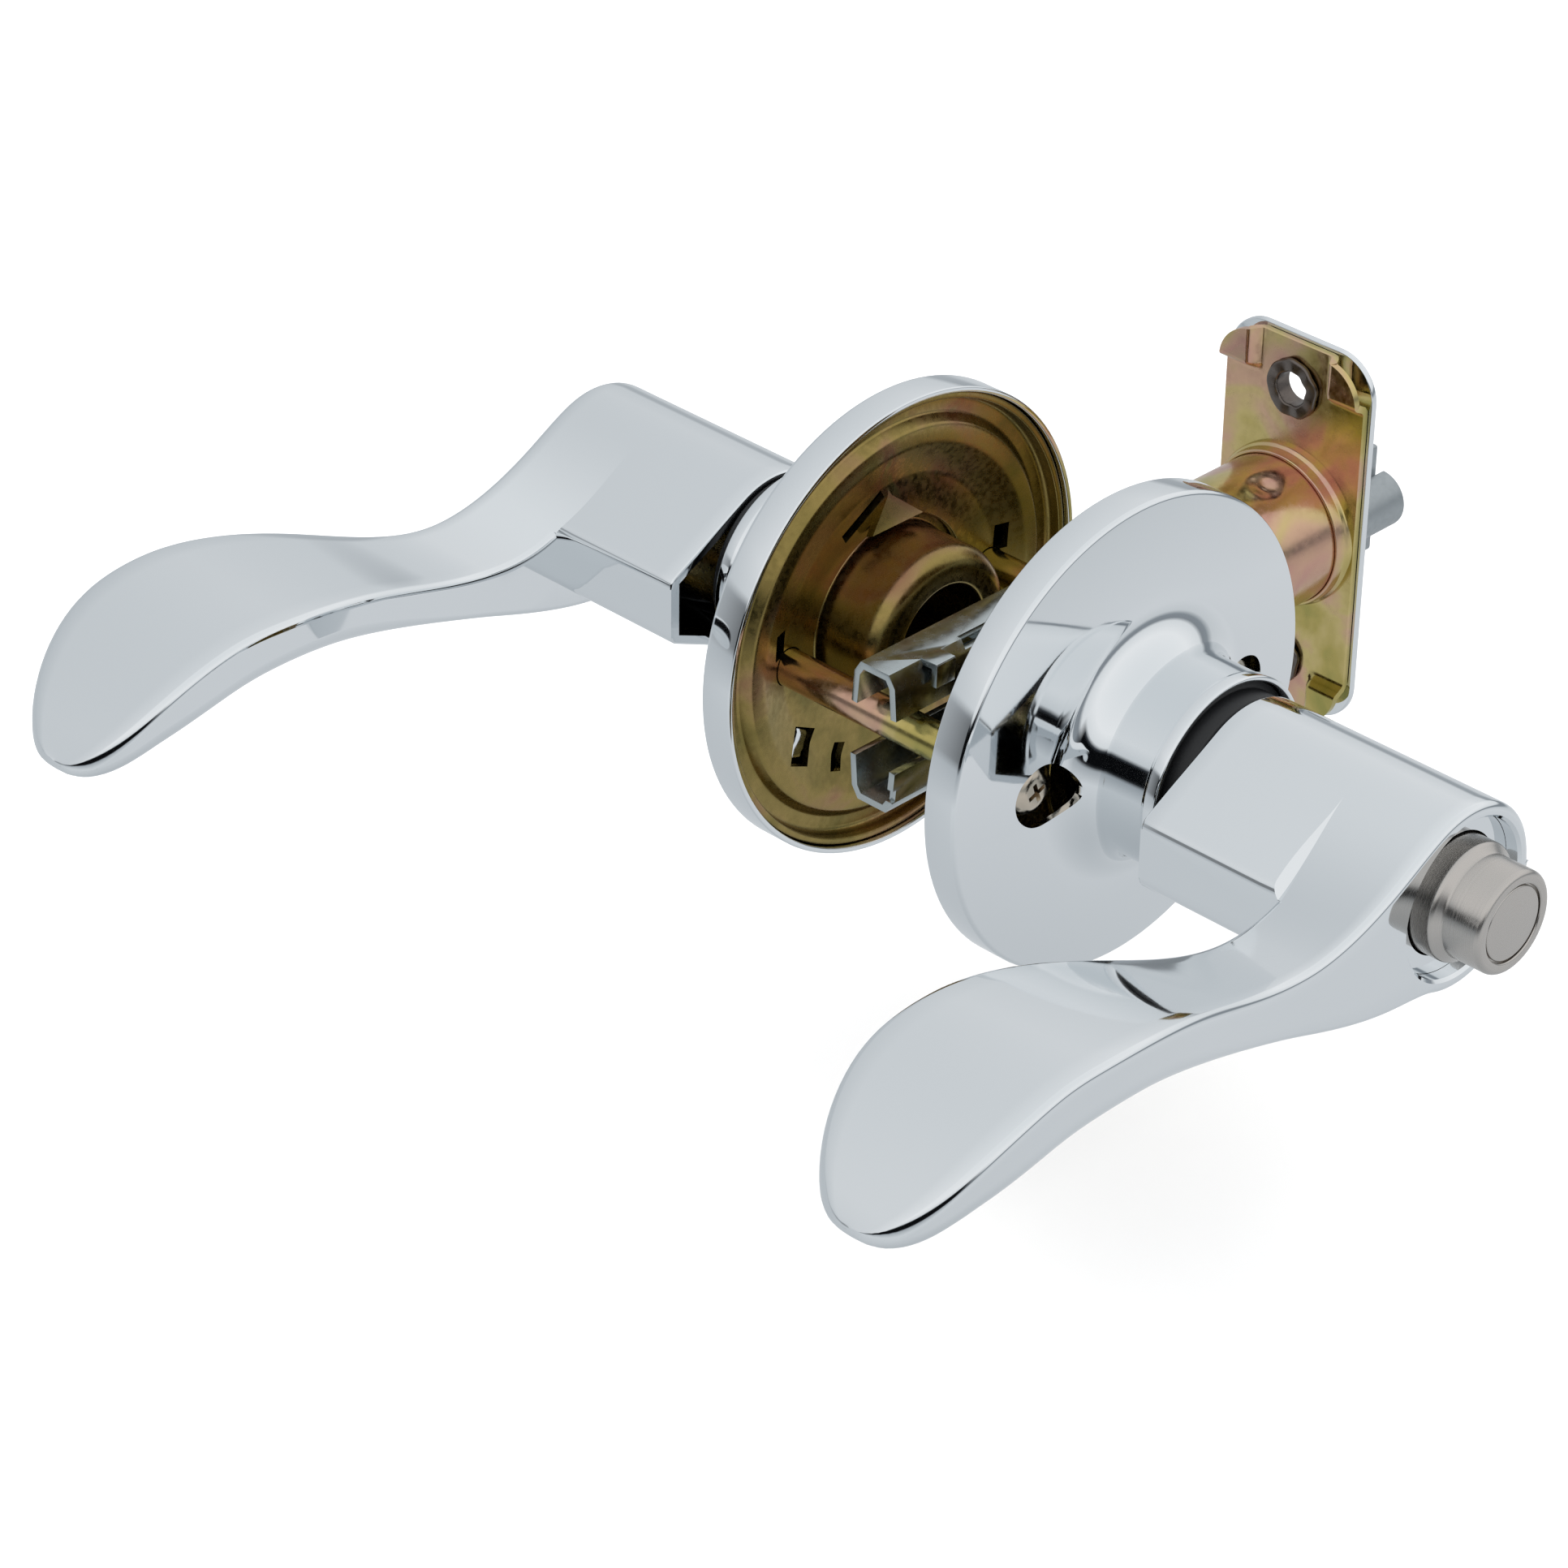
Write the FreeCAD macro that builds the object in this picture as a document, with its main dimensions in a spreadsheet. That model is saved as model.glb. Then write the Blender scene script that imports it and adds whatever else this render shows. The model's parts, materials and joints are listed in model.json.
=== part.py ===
import FreeCAD, Part
import math
import os
import re

import Sketcher
from FreeCAD import Placement, Rotation, Vector

# Privacy lever lockset: two mirrored wave levers on round roses, a push button in the
# inside lever, and a tubular spring latch.
# +X runs along the latch towards the door edge, +Y along the spindle towards the outside,
# +Z up. The origin is where the spindle and latch axes cross, in the middle of the door.
# Pieces on a rose are made in a local frame: z outward from the door's face, y up.

doc = FreeCAD.newDocument("lever_lockset")
sheet = doc.addObject("Spreadsheet::Sheet", "Sizes")

SIZES = [
    # door and cross bore
    ("door_thickness", 35.0), ("backset", 60.3), ("running_gap", 0.05), ("seat_gap", 0.15),
    # rose
    ("rose_radius", 33.6), ("rose_wall", 0.8), ("rose_edge", 5.1), ("rose_dome", 7.4),
    ("dome_run", 7.4), ("neck_radius", 14.6), ("neck_length", 21.8), ("neck_flare", 7.5),
    ("neck_step", 0.4), ("rim_round", 0.7), ("screw_hole", 4.5),
    # stamped liner, spring cup and return spring
    ("liner_wall", 1.0), ("liner_floor", 3.0), ("bead_crest", 1.4), ("bead_outer", 28.8),
    ("bead_inner", 20.0), ("cup_gap", 1.4), ("cup_room", 3.8), ("cup_depth", 7.0),
    ("cup_lip", 1.2), ("cup_round", 2.8), ("cup_foot", 1.0), ("return_wire", 0.7),
    ("return_low", 1.2), ("return_high", 1.5),
    # sleeve, bearing ring and catch
    ("sleeve_radius", 9.4), ("sleeve_wall", 1.1), ("sleeve_start", -4.8), ("sleeve_end", 47.0),
    ("key_web", 8.0), ("seat_web", 38.0), ("web_wall", 2.0), ("ring_start", 16.5),
    ("ring_end", 20.4), ("catch_radius", 2.0), ("catch_place", 43.0), ("catch_gap", 0.3),
    ("leaf_wall", 0.8),
    # lever
    ("lever_start", 24.5), ("lever_front", 60.6), ("shank_radius", 13.0), ("shank_reach", 20.0),
    ("corner_top", 4.0), ("corner_bottom", -5.5), ("shank_wall", 1.5), ("cavity_depth", 11.0),
    ("corner_round", 1.8), ("button_bore", 11.0), ("chamber_depth", 12.0),
    ("release_hole", 1.6), ("blade_reach", 103.4), ("blade_half_root", 6.9),
    ("blade_half_full", 13.1), ("blade_round", 1.1), ("tip_length", 19.4), ("bore_spare", 0.3),
    # button
    ("skirt_radius", 8.2), ("cap_radius", 7.1), ("skirt_start", 52.0), ("skirt_end", 62.0),
    ("cap_end", 68.4), ("cap_round", 0.7), ("disc_radius", 5.3), ("disc_recess", 0.5),
    ("collar_start", 55.6), ("collar_end", 58.4), ("collar_gap", 0.3), ("bar_width", 5.0),
    ("bar_wall", 1.4), ("bar_rise", 0.6), ("bar_end", 6.0), ("bar_gap", 0.35),
    ("bar_foot", 3.2), ("foot_height", 1.2), ("button_coil", 5.4), ("button_wire", 0.4),
    # posts, screws and spindle
    ("post_radius", 2.6), ("post_gap", 2.1), ("post_clear", 0.9), ("screw_radius", 1.6),
    ("head_radius", 3.6), ("head_height", 2.6), ("head_clear", 0.3), ("screw_depth", 20.0),
    ("screw_spare", 2.0), ("drive_reach", 2.0), ("drive_half", 0.45), ("drive_depth", 1.4),
    ("spindle_radius", 3.9), ("spindle_flat", 0.4),
    # latch
    ("plate_width", 25.4), ("plate_height", 57.15), ("plate_wall", 1.0), ("plate_corner", 6.35),
    ("hole_pitch", 42.1), ("window_gap", 0.4), ("back_wall", 1.1), ("back_inset", 0.6),
    ("tab_width", 7.0), ("tab_height", 6.5), ("tab_set", 0.9), ("eyelet_bore", 2.5),
    ("eyelet_wall", 0.8), ("eyelet_flange", 4.5), ("eyelet_stand", 0.9), ("tube_radius", 11.0),
    ("tube_wall", 0.9), ("collar_flare", 2.0), ("collar_wall", 0.8), ("collar_tall", 3.2),
    ("bolt_gap", 0.5), ("bolt_throw", 12.4), ("bolt_flat", 4.2), ("bolt_tall", 16.6),
    ("bolt_tail", 46.0), ("bevel_side", 1.0), ("bevel_start", 0.4), ("plunger_radius", 4.2),
    ("plunger_gap", 0.4), ("plunger_throw", 13.2), ("plunger_tail", 42.0),
    # tail frame, hub, drawbar and the latch's springs
    ("tail_end", 24.6), ("tail_half", 4.0), ("tail_step", 0.6), ("tail_low", 4.0),
    ("tail_wall", 1.0), ("tongue_end", 31.0), ("tongue_half", 2.4), ("tongue_wall", 0.6),
    ("hook_start", 6.0), ("hook_end", 9.5), ("hook_stand", 1.4), ("hook_depth", 3.5),
    ("hub_radius", 6.0), ("hub_half", 1.5), ("lug_half", 1.5), ("draw_inner", 1.8),
    ("draw_wall", 0.9), ("draw_tall", 2.2), ("draw_gap", 0.2), ("draw_back", 2.6),
    ("draw_bridge", 2.0), ("bridge_half", 3.4), ("coil_radius", 4.0), ("coil_wire", 0.4),
    ("plunger_coil", 1.6), ("plunger_wire", 0.25), ("coil_gap", 0.5),
]
for row, (alias, value) in enumerate(SIZES, start=1):
    sheet.set("A%d" % row, alias)
    sheet.set("B%d" % row, str(value))
    sheet.setAlias("B%d" % row, alias)
doc.recompute()
ALIASES = [alias for alias, value in SIZES]
PARTS = []

# What follows from those sizes: each piece stands clear of its neighbour by a named gap.
DOME_RADIUS = "(neck_radius + dome_run)"
CUP_RADIUS = "(sleeve_radius + cup_room)"
LINER_HOLE = "(sleeve_radius + cup_room + cup_gap)"
LINER_OUTER = "(rose_radius - rose_wall - seat_gap)"
SCREW_REACH = "(sleeve_radius + cup_room + cup_gap + cup_foot + head_radius + head_clear)"
POST_END = "(door_thickness / 2 - post_gap)"
TUBE_START = "(%s + post_radius + post_clear)" % SCREW_REACH
BOLT_RADIUS = "(tube_radius - tube_wall - bolt_gap)"
TAIL_TOP = "(tube_radius - tail_step)"
DRAW_HIGH = "(%s - tongue_wall - draw_gap)" % BOLT_RADIUS
DRAW_LOW = "(%s - draw_tall)" % DRAW_HIGH
LUG_REACH = "(%s - draw_gap)" % DRAW_HIGH


def bound(text):
    """An expression in plain alias words, tied to the spreadsheet."""
    return re.sub(r"[a-z_]+", lambda m: ("Sizes." if m.group() in ALIASES else "") + m.group(), text)


def number(text):
    """The value of such an expression now."""
    value = sheet.evalExpression(bound(text))
    return float(getattr(value, "Value", value))


def bind(thing, **properties):
    for name, text in properties.items():
        thing.setExpression(name.replace("__", "."), bound(text))


def sub_part(thing, label, place=None):
    """Marks a document object as a finished sub-part."""
    thing.Label = label
    if place is not None:
        thing.Placement = place
    PARTS.append(thing)
    return thing


# ---------------------------------------------------------------- ways to make a piece

def origin_plane(body, role):
    return next(f for f in body.Origin.OriginFeatures if f.Role == role)


def polygon_sketch(body, name, role, corners):
    """A closed outline whose every corner is tied to the spreadsheet."""
    sketch = body.newObject("Sketcher::SketchObject", name)
    sketch.AttachmentSupport = (origin_plane(body, role), [""])
    sketch.MapMode = "FlatFace"
    points = [Vector(number(a), number(b), 0) for a, b in corners]
    count = len(points)
    for i in range(count):
        sketch.addGeometry(Part.LineSegment(points[i], points[(i + 1) % count]))
    for i in range(count):
        sketch.addConstraint(Sketcher.Constraint("Coincident", i, 2, (i + 1) % count, 1))
    for i, (a, b) in enumerate(corners):
        for kind, text, value in (("DistanceX", a, points[i].x), ("DistanceY", b, points[i].y)):
            index = sketch.addConstraint(Sketcher.Constraint(kind, -1, 1, i, 1, value))
            sketch.setExpression("Constraints[%d]" % index, bound(text))
    return sketch


def turned_body(name, profile):
    """A body turned about its own z axis from (radius, height) corners."""
    body = doc.addObject("PartDesign::Body", name)
    sketch = polygon_sketch(body, name + "_profile", "XZ_Plane", profile)
    turn = body.newObject("PartDesign::Revolution", name + "_turned")
    turn.Profile = sketch
    turn.ReferenceAxis = (sketch, ["V_Axis"])
    turn.Angle = 360
    doc.recompute()
    return body


def round_rings(body, name, rings):
    """Rounds circular edges, each chosen by its (radius, height), to its own size."""
    for step, (radius, height, size) in enumerate(rings):
        base = body.Tip
        wanted = []
        for index, edge in enumerate(base.Shape.Edges, start=1):
            if not isinstance(edge.Curve, Part.Circle):
                continue
            same_radius = abs(edge.Curve.Radius - number(radius)) < 1e-4
            if same_radius and abs(edge.Curve.Center.z - number(height)) < 1e-4:
                wanted.append("Edge%d" % index)
        fillet = body.newObject("PartDesign::Fillet", "%s_round_%d" % (name, step))
        fillet.Base = (base, wanted)
        bind(fillet, Radius=size)
        doc.recompute()


def drill(body, name, radius, places):
    """Round holes right through a body, along its z axis."""
    for step, (a, b) in enumerate(places):
        sketch = body.newObject("Sketcher::SketchObject", "%s_sketch_%d" % (name, step))
        sketch.AttachmentSupport = (origin_plane(body, "XY_Plane"), [""])
        sketch.MapMode = "FlatFace"
        centre = Vector(number(a), number(b), 0)
        circle = sketch.addGeometry(Part.Circle(centre, Vector(0, 0, 1), number(radius)))
        for kind, text, value in (("DistanceX", a, centre.x), ("DistanceY", b, centre.y)):
            index = sketch.addConstraint(Sketcher.Constraint(kind, -1, 1, circle, 3, value))
            sketch.setExpression("Constraints[%d]" % index, bound(text))
        index = sketch.addConstraint(Sketcher.Constraint("Radius", circle, number(radius)))
        sketch.setExpression("Constraints[%d]" % index, bound(radius))
        pocket = body.newObject("PartDesign::Pocket", "%s_%d" % (name, step))
        pocket.Profile = sketch
        pocket.Type = 1
        pocket.Midplane = True
        doc.recompute()


def box(name, x, y, z):
    """A block between two expressions on each axis."""
    block = doc.addObject("Part::Box", name)
    bind(block, Length="(%s) - (%s)" % (x[1], x[0]), Width="(%s) - (%s)" % (y[1], y[0]),
         Height="(%s) - (%s)" % (z[1], z[0]), Placement__Base__x=x[0], Placement__Base__y=y[0],
         Placement__Base__z=z[0])
    return block


ALONG = {
    "x": Rotation(Vector(0, 1, 0), 90),
    "y": Rotation(Vector(1, 0, 0), -90),
    "z": Rotation(),
}


def rod(name, radius, axis, start, end, at=("0", "0", "0")):
    """A cylinder along x, y or z, from start to end, centred on the other two values of at."""
    cylinder = doc.addObject("Part::Cylinder", name)
    base = dict(zip("xyz", at))
    base[axis] = start
    cylinder.Placement = Placement(Vector(), ALONG[axis])
    bind(cylinder, Radius=radius, Height="(%s) - (%s)" % (end, start),
         Placement__Base__x=base["x"], Placement__Base__y=base["y"], Placement__Base__z=base["z"])
    return cylinder


def cut(name, base, tool):
    result = doc.addObject("Part::Cut", name)
    result.Base = base
    result.Tool = tool
    return result


def fuse(name, *pieces):
    result = doc.addObject("Part::MultiFuse", name)
    result.Shapes = list(pieces)
    return result


def common(name, first, second):
    result = doc.addObject("Part::Common", name)
    result.Base = first
    result.Tool = second
    return result


def coil(name, radius, wire, start, end, turns):
    """A coil spring about its own z axis, swept along a helix."""
    helix = doc.addObject("Part::Helix", name + "_path")
    bind(helix, Radius=radius, Height="(%s) - (%s)" % (end, start),
         Pitch="((%s) - (%s)) / %s" % (end, start, turns), Placement__Base__z=start)
    ring = doc.addObject("Part::Circle", name + "_wire")
    climb = (number(end) - number(start)) / (turns * 2 * math.pi * number(radius))
    ring.Placement = Placement(Vector(), Rotation(Vector(0, 0, 1), Vector(0, 1, climb)))
    bind(ring, Radius=wire, Placement__Base__x=radius, Placement__Base__z=start)
    sweep = doc.addObject("Part::Sweep", name)
    doc.recompute()
    sweep.Sections = [ring]
    sweep.Spine = (helix, ["Edge%d" % (i + 1) for i in range(len(helix.Shape.Edges))])
    sweep.Solid = True
    sweep.Frenet = True
    return sweep


def rose_place(side):
    """Local frame of a rose: z outward from the door's face, y up."""
    half = number("door_thickness") / 2
    turn = Rotation(Vector(1, 0, 0), 90) if side == "inside" else Rotation(Vector(0, 1, 1), 180)
    return Placement(Vector(0, -half if side == "inside" else half, 0), turn)


# ---------------------------------------------------------------- rose, liner, cup

def rose(side):
    """Pressed shell: flat rim, shallow dome and a bell neck."""
    inner = "rose_radius - rose_wall"
    body = turned_body(side + "_rose", [
        (inner, "0"), ("rose_radius", "0"), ("rose_radius", "rose_edge"),
        (DOME_RADIUS, "rose_dome"), ("neck_radius", "rose_dome + neck_step"),
        ("neck_radius", "neck_length"), ("neck_radius - rose_wall", "neck_length"),
        ("neck_radius - rose_wall", "rose_dome + neck_step - rose_wall"),
        (DOME_RADIUS, "rose_dome - rose_wall"), (inner, "rose_edge - rose_wall"),
    ])
    round_rings(body, side + "_rose", [
        ("neck_radius", "rose_dome + neck_step", "neck_flare"),
        ("neck_radius - rose_wall", "rose_dome + neck_step - rose_wall", "neck_flare + rose_wall"),
        ("rose_radius", "rose_edge", "rim_round"),
        ("neck_radius", "neck_length", "rose_wall / 3"),
    ])
    if side == "inside":
        drill(body, "screw_hole", "screw_hole", [(SCREW_REACH, "0"), ("-" + SCREW_REACH, "0")])
    return sub_part(body, side + "_rose", rose_place(side))


def liner(side):
    """Stamped plate: outer flange, floor, raised bead and flat web round the cup."""
    slope = "(bead_outer - bead_inner) / 4"
    body = turned_body(side + "_liner", [
        (LINER_OUTER, "rose_wall"), (LINER_OUTER, "liner_floor + liner_wall"),
        ("bead_outer - liner_wall", "liner_floor + liner_wall"),
        ("bead_outer - liner_wall - %s" % slope, "bead_crest + liner_wall"),
        ("bead_inner + liner_wall + %s" % slope, "bead_crest + liner_wall"),
        ("bead_inner + liner_wall", "liner_floor + liner_wall"),
        (LINER_HOLE, "liner_floor + liner_wall"), (LINER_HOLE, "liner_floor"),
        ("bead_inner", "liner_floor"), ("bead_inner + %s" % slope, "bead_crest"),
        ("bead_outer - %s" % slope, "bead_crest"), ("bead_outer", "liner_floor"),
        (LINER_OUTER + " - liner_wall", "liner_floor"), (LINER_OUTER + " - liner_wall", "rose_wall"),
    ])
    hole = "post_radius + seat_gap" if side == "outside" else "screw_radius + seat_gap"
    drill(body, side + "_liner_hole", hole, [(SCREW_REACH, "0"), ("-" + SCREW_REACH, "0")])
    return sub_part(body, side + "_liner", rose_place(side))


def spring_cup(side):
    """Deep cup whose rounded lip reaches into the cross bore."""
    foot = "liner_floor + liner_wall + seat_gap"
    body = turned_body(side + "_spring_cup", [
        (LINER_HOLE + " + cup_foot", foot), (LINER_HOLE + " + cup_foot", foot + " + liner_wall"),
        (CUP_RADIUS + " - liner_wall", foot + " + liner_wall"),
        (CUP_RADIUS + " - liner_wall", "liner_wall - cup_depth"),
        ("sleeve_radius - cup_lip", "liner_wall - cup_depth"),
        ("sleeve_radius - cup_lip", "-cup_depth"), (CUP_RADIUS, "-cup_depth"), (CUP_RADIUS, foot),
    ])
    round_rings(body, side + "_spring_cup", [
        (CUP_RADIUS, "-cup_depth", "cup_round"),
        (CUP_RADIUS + " - liner_wall", "liner_wall - cup_depth", "cup_round - liner_wall"),
    ])
    return sub_part(body, side + "_spring_cup", rose_place(side))


def return_spring(side):
    """Torsion spring round the sleeve, inside the cup."""
    middle = "sleeve_radius + (cup_room - liner_wall) / 2"
    spring = coil(side + "_return_spring", middle, "return_wire",
                  "return_low - cup_depth + liner_wall", "liner_floor + return_high", 3)
    return sub_part(spring, side + "_return_spring", rose_place(side))


def neck_ring(side):
    """Dark bearing ring in the mouth of the neck, in which the sleeve turns."""
    bore, rim = "sleeve_radius + running_gap", "neck_radius - rose_wall - seat_gap / 3"
    body = turned_body(side + "_neck_ring", [
        (bore, "ring_start"), (rim, "ring_start"), (rim, "ring_end"), (bore, "ring_end"),
    ])
    return sub_part(body, side + "_neck_ring", rose_place(side))


# ---------------------------------------------------------------- sleeve, catch, lever

def sleeve(side):
    """Tube that carries the lever, with a keyed web for the spindle and a spring seat."""
    inner = "sleeve_radius - sleeve_wall"
    tube = turned_body(side + "_sleeve_tube", [
        (inner, "sleeve_start"), ("sleeve_radius", "sleeve_start"), ("sleeve_radius", "sleeve_end"),
        (inner, "sleeve_end"), (inner, "seat_web + web_wall"),
        ("spindle_radius", "seat_web + web_wall"), ("spindle_radius", "seat_web"),
        (inner, "seat_web"), (inner, "key_web + web_wall"), ("0", "key_web + web_wall"),
        ("0", "key_web"), (inner, "key_web"),
    ])
    through = ("key_web - 1", "key_web + web_wall + 1")
    bore = rod(side + "_key_round", "spindle_radius + running_gap", "z", *through)
    lower = box(side + "_key_lower", ("-spindle_radius - 1", "spindle_radius + 1"),
                ("-spindle_radius - 1", "-spindle_flat + running_gap"), through)
    slot = box(side + "_bar_slot", ("-bar_width / 2 - bar_gap", "bar_width / 2 + bar_gap"),
               ("bar_rise - bar_gap", "bar_rise + bar_wall + bar_gap"), through)
    hole = rod(side + "_catch_hole", "catch_radius + seat_gap", "y", "-sleeve_radius - 1", "0",
               ("0", "0", "catch_place"))
    tools = fuse(side + "_sleeve_cuts", common(side + "_key", bore, lower), slot, hole)
    return sub_part(cut(side + "_sleeve", tube, tools), side + "_sleeve", rose_place(side))


def catch(side):
    """Sprung catch that stands through the sleeve into the lever."""
    leaf_face = "-sleeve_radius + sleeve_wall + catch_gap"
    pin = rod(side + "_catch_pin", "catch_radius", "y", "-shank_radius + shank_wall", leaf_face,
              ("0", "0", "catch_place"))
    leaf = box(side + "_catch_leaf", ("-catch_radius", "catch_radius"),
               (leaf_face, leaf_face + " + leaf_wall"), ("catch_place - catch_radius", "sleeve_end - 1"))
    holder = fuse(side + "_catch_whole", pin, leaf)
    return sub_part(holder, side + "_catch", rose_place(side))


def shank_outline(inset):
    """Round towards the latch, two flats running out to a short upright side."""
    radius = number("shank_radius") - inset
    reach = number("shank_reach") - inset
    rise = number("corner_top") - inset * 0.6
    drop = number("corner_bottom") + inset * 0.6
    tangents = []
    for height, hand in ((rise, 1), (drop, -1)):
        angle = math.atan2(height, reach) + hand * math.acos(radius / math.hypot(reach, height))
        tangents.append(Vector(-radius * math.cos(angle), radius * math.sin(angle), 0))
    upper, lower = Vector(-reach, rise, 0), Vector(-reach, drop, 0)
    edges = [
        Part.Arc(tangents[0], Vector(radius, 0, 0), tangents[1]).toShape(),
        Part.LineSegment(tangents[1], lower).toShape(),
        Part.LineSegment(lower, upper).toShape(),
        Part.LineSegment(upper, tangents[0]).toShape(),
    ]
    return Part.Wire(edges)


def shank_solid(inset, start, end):
    """The shank's section drawn out between two distances from the door."""
    wire = shank_outline(inset)
    wire.translate(Vector(0, 0, start))
    solid = Part.Face(wire).extrude(Vector(0, 0, end - start))
    reach = number("shank_reach") - inset
    corners = [e for e in solid.Edges if abs(e.BoundBox.ZLength - (end - start)) < 1e-6
               and abs(e.BoundBox.XMin + reach) < 1e-6 and e.BoundBox.XLength < 1e-6]
    return solid.makeFillet(max(number("corner_round") - inset, 0.3), corners)


def height_curve(knots):
    """A smooth line through (reach, height) knots, read by its reach."""
    curve = Part.BSplineCurve()
    curve.interpolate(Points=[Vector(a, b, 0) for a, b in knots], Parameters=[a for a, b in knots])
    return lambda reach: curve.value(reach).y


def blade_solid():
    """Wave blade: a loft of rounded sections square to its length."""
    radius, reach = number("shank_radius"), number("blade_reach")
    crest, trough = radius - 0.1, 0.2 - radius
    wave = [(0, crest, trough), (0.116, 8.1, -11.8), (0.29, 2.8, -6.8), (0.522, 9.4, 1.6),
            (0.706, 13.8, 5.6), (0.88, 10.0, 2.2), (1, -1.4, -4.6)]
    top = height_curve([(share * reach, high) for share, high, bottom in wave])
    low = height_curve([(share * reach, bottom) for share, high, bottom in wave])
    root, full = number("blade_half_root"), number("blade_half_full")
    middle = number("lever_front") - root
    length = number("tip_length")
    tip = reach - length
    straight = [tip * step / 10 for step in range(11)]
    rounded = [tip + length * share for share in (0.2, 0.5, 0.75, 0.9, 0.975)]
    wires = []
    for station in straight + rounded:
        widening = min(max((station / reach - 0.29) / 0.445, 0), 1)
        half = root + (full - root) * widening * widening * (3 - 2 * widening)
        if station > tip:
            half *= math.sqrt(1 - ((station - tip) / length) ** 2)
        high, bottom = top(station), low(station)
        corner = min(number("blade_round"), (high - bottom) / 4, half / 3)
        belly = 0.12 * half if station > 0 else 0
        wires.append(blade_section(station, middle, half, high, bottom, corner, belly))
    return Part.makeLoft(wires, True, False)


def blade_section(station, middle, half, high, low, corner, belly):
    """One section: flat top, upright sides, bowed underside, rounded corners."""
    diagonal = corner * (1 - math.sqrt(0.5))

    def at(across, height):
        return Vector(-station, height, middle + across)

    left, right = -half, half
    edges = [
        Part.LineSegment(at(left + corner, high), at(right - corner, high)),
        Part.Arc(at(right - corner, high), at(right - diagonal, high - diagonal), at(right, high - corner)),
        Part.LineSegment(at(right, high - corner), at(right, low + corner)),
        Part.Arc(at(right, low + corner), at(right - diagonal, low + diagonal), at(right - corner, low)),
        Part.Arc(at(right - corner, low), at(0, low - belly), at(left + corner, low)) if belly
        else Part.LineSegment(at(right - corner, low), at(left + corner, low)),
        Part.Arc(at(left + corner, low), at(left + diagonal, low + diagonal), at(left, low + corner)),
        Part.LineSegment(at(left, low + corner), at(left, high - corner)),
        Part.Arc(at(left, high - corner), at(left + diagonal, high - diagonal), at(left + corner, high)),
    ]
    return Part.Wire([e.toShape() for e in edges])


def lever(side):
    """Cast lever: hollow shank, bored web, front chamber and wave blade."""
    start, front = number("lever_start"), number("lever_front")
    wall, depth = number("shank_wall"), number("cavity_depth")
    solid = shank_solid(0, start, front).fuse(blade_solid())
    cavity = shank_solid(wall, start - 1, start + depth)
    chamber = front - number("chamber_depth")
    bottom = chamber + 0.1 if side == "inside" else number("sleeve_end + bore_spare")
    bore = Part.makeCylinder(number("sleeve_radius + running_gap"), bottom)
    solid = solid.cut(cavity).cut(bore)
    if side == "inside":
        solid = solid.cut(Part.makeCylinder(number("button_bore"), front, Vector(0, 0, chamber)))
    else:
        solid = solid.cut(Part.makeCylinder(number("release_hole"), front, Vector(0, 0, start)))
    hole = Part.makeCylinder(number("catch_radius + seat_gap"), number("shank_radius") + 1,
                             Vector(0, 0, number("catch_place")), Vector(0, -1, 0))
    solid = solid.cut(hole)
    if side == "outside":
        solid = solid.mirror(Vector(), Vector(1, 0, 0))
    feature = doc.addObject("Part::Feature", side + "_lever")
    feature.Shape = solid.removeSplitter()
    return sub_part(feature, side + "_lever", rose_place(side))


for side in ("inside", "outside"):
    for make in (rose, liner, spring_cup, return_spring, neck_ring, sleeve, catch, lever):
        make(side)


# ---------------------------------------------------------------- button and lock bar

def button():
    """Push button: skirted cap, let-in face disc, lock bar, spring and collar."""
    place = rose_place("inside")
    recess = "cap_end - disc_recess - seat_gap"
    body = turned_body("button_body", [
        ("0", "skirt_start"), ("skirt_radius", "skirt_start"), ("skirt_radius", "skirt_end"),
        ("cap_radius", "skirt_end"), ("cap_radius", "cap_end"), ("disc_radius", "cap_end"),
        ("disc_radius", recess), ("0", recess),
    ])
    round_rings(body, "button_body", [("cap_radius", "cap_end", "cap_round")])
    sub_part(body, "button_body", place)
    disc = turned_body("button_disc", [
        ("0", recess), ("disc_radius - seat_gap", recess),
        ("disc_radius - seat_gap", "cap_end - seat_gap"), ("0", "cap_end - seat_gap"),
    ])
    sub_part(disc, "button_disc", place)
    collar = turned_body("button_collar", [
        ("skirt_radius + collar_gap", "collar_start"), ("button_bore - seat_gap / 3", "collar_start"),
        ("button_bore - seat_gap / 3", "collar_end"), ("skirt_radius + collar_gap", "collar_end"),
    ])
    sub_part(collar, "button_collar", place)
    bar = box("locking_bar_blade", ("-bar_width / 2", "bar_width / 2"),
              ("bar_rise", "bar_rise + bar_wall"), ("bar_end", "skirt_start"))
    foot = rod("locking_bar_foot", "bar_foot", "z", "skirt_start - foot_height", "skirt_start")
    sub_part(fuse("locking_bar_all", bar, foot), "locking_bar", place)
    spring = coil("button_spring", "button_coil", "button_wire", "seat_web + web_wall + coil_gap",
                  "skirt_start - coil_gap", 6)
    sub_part(spring, "button_spring", place)


button()


# ---------------------------------------------------------------- posts, screws, spindle

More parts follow.
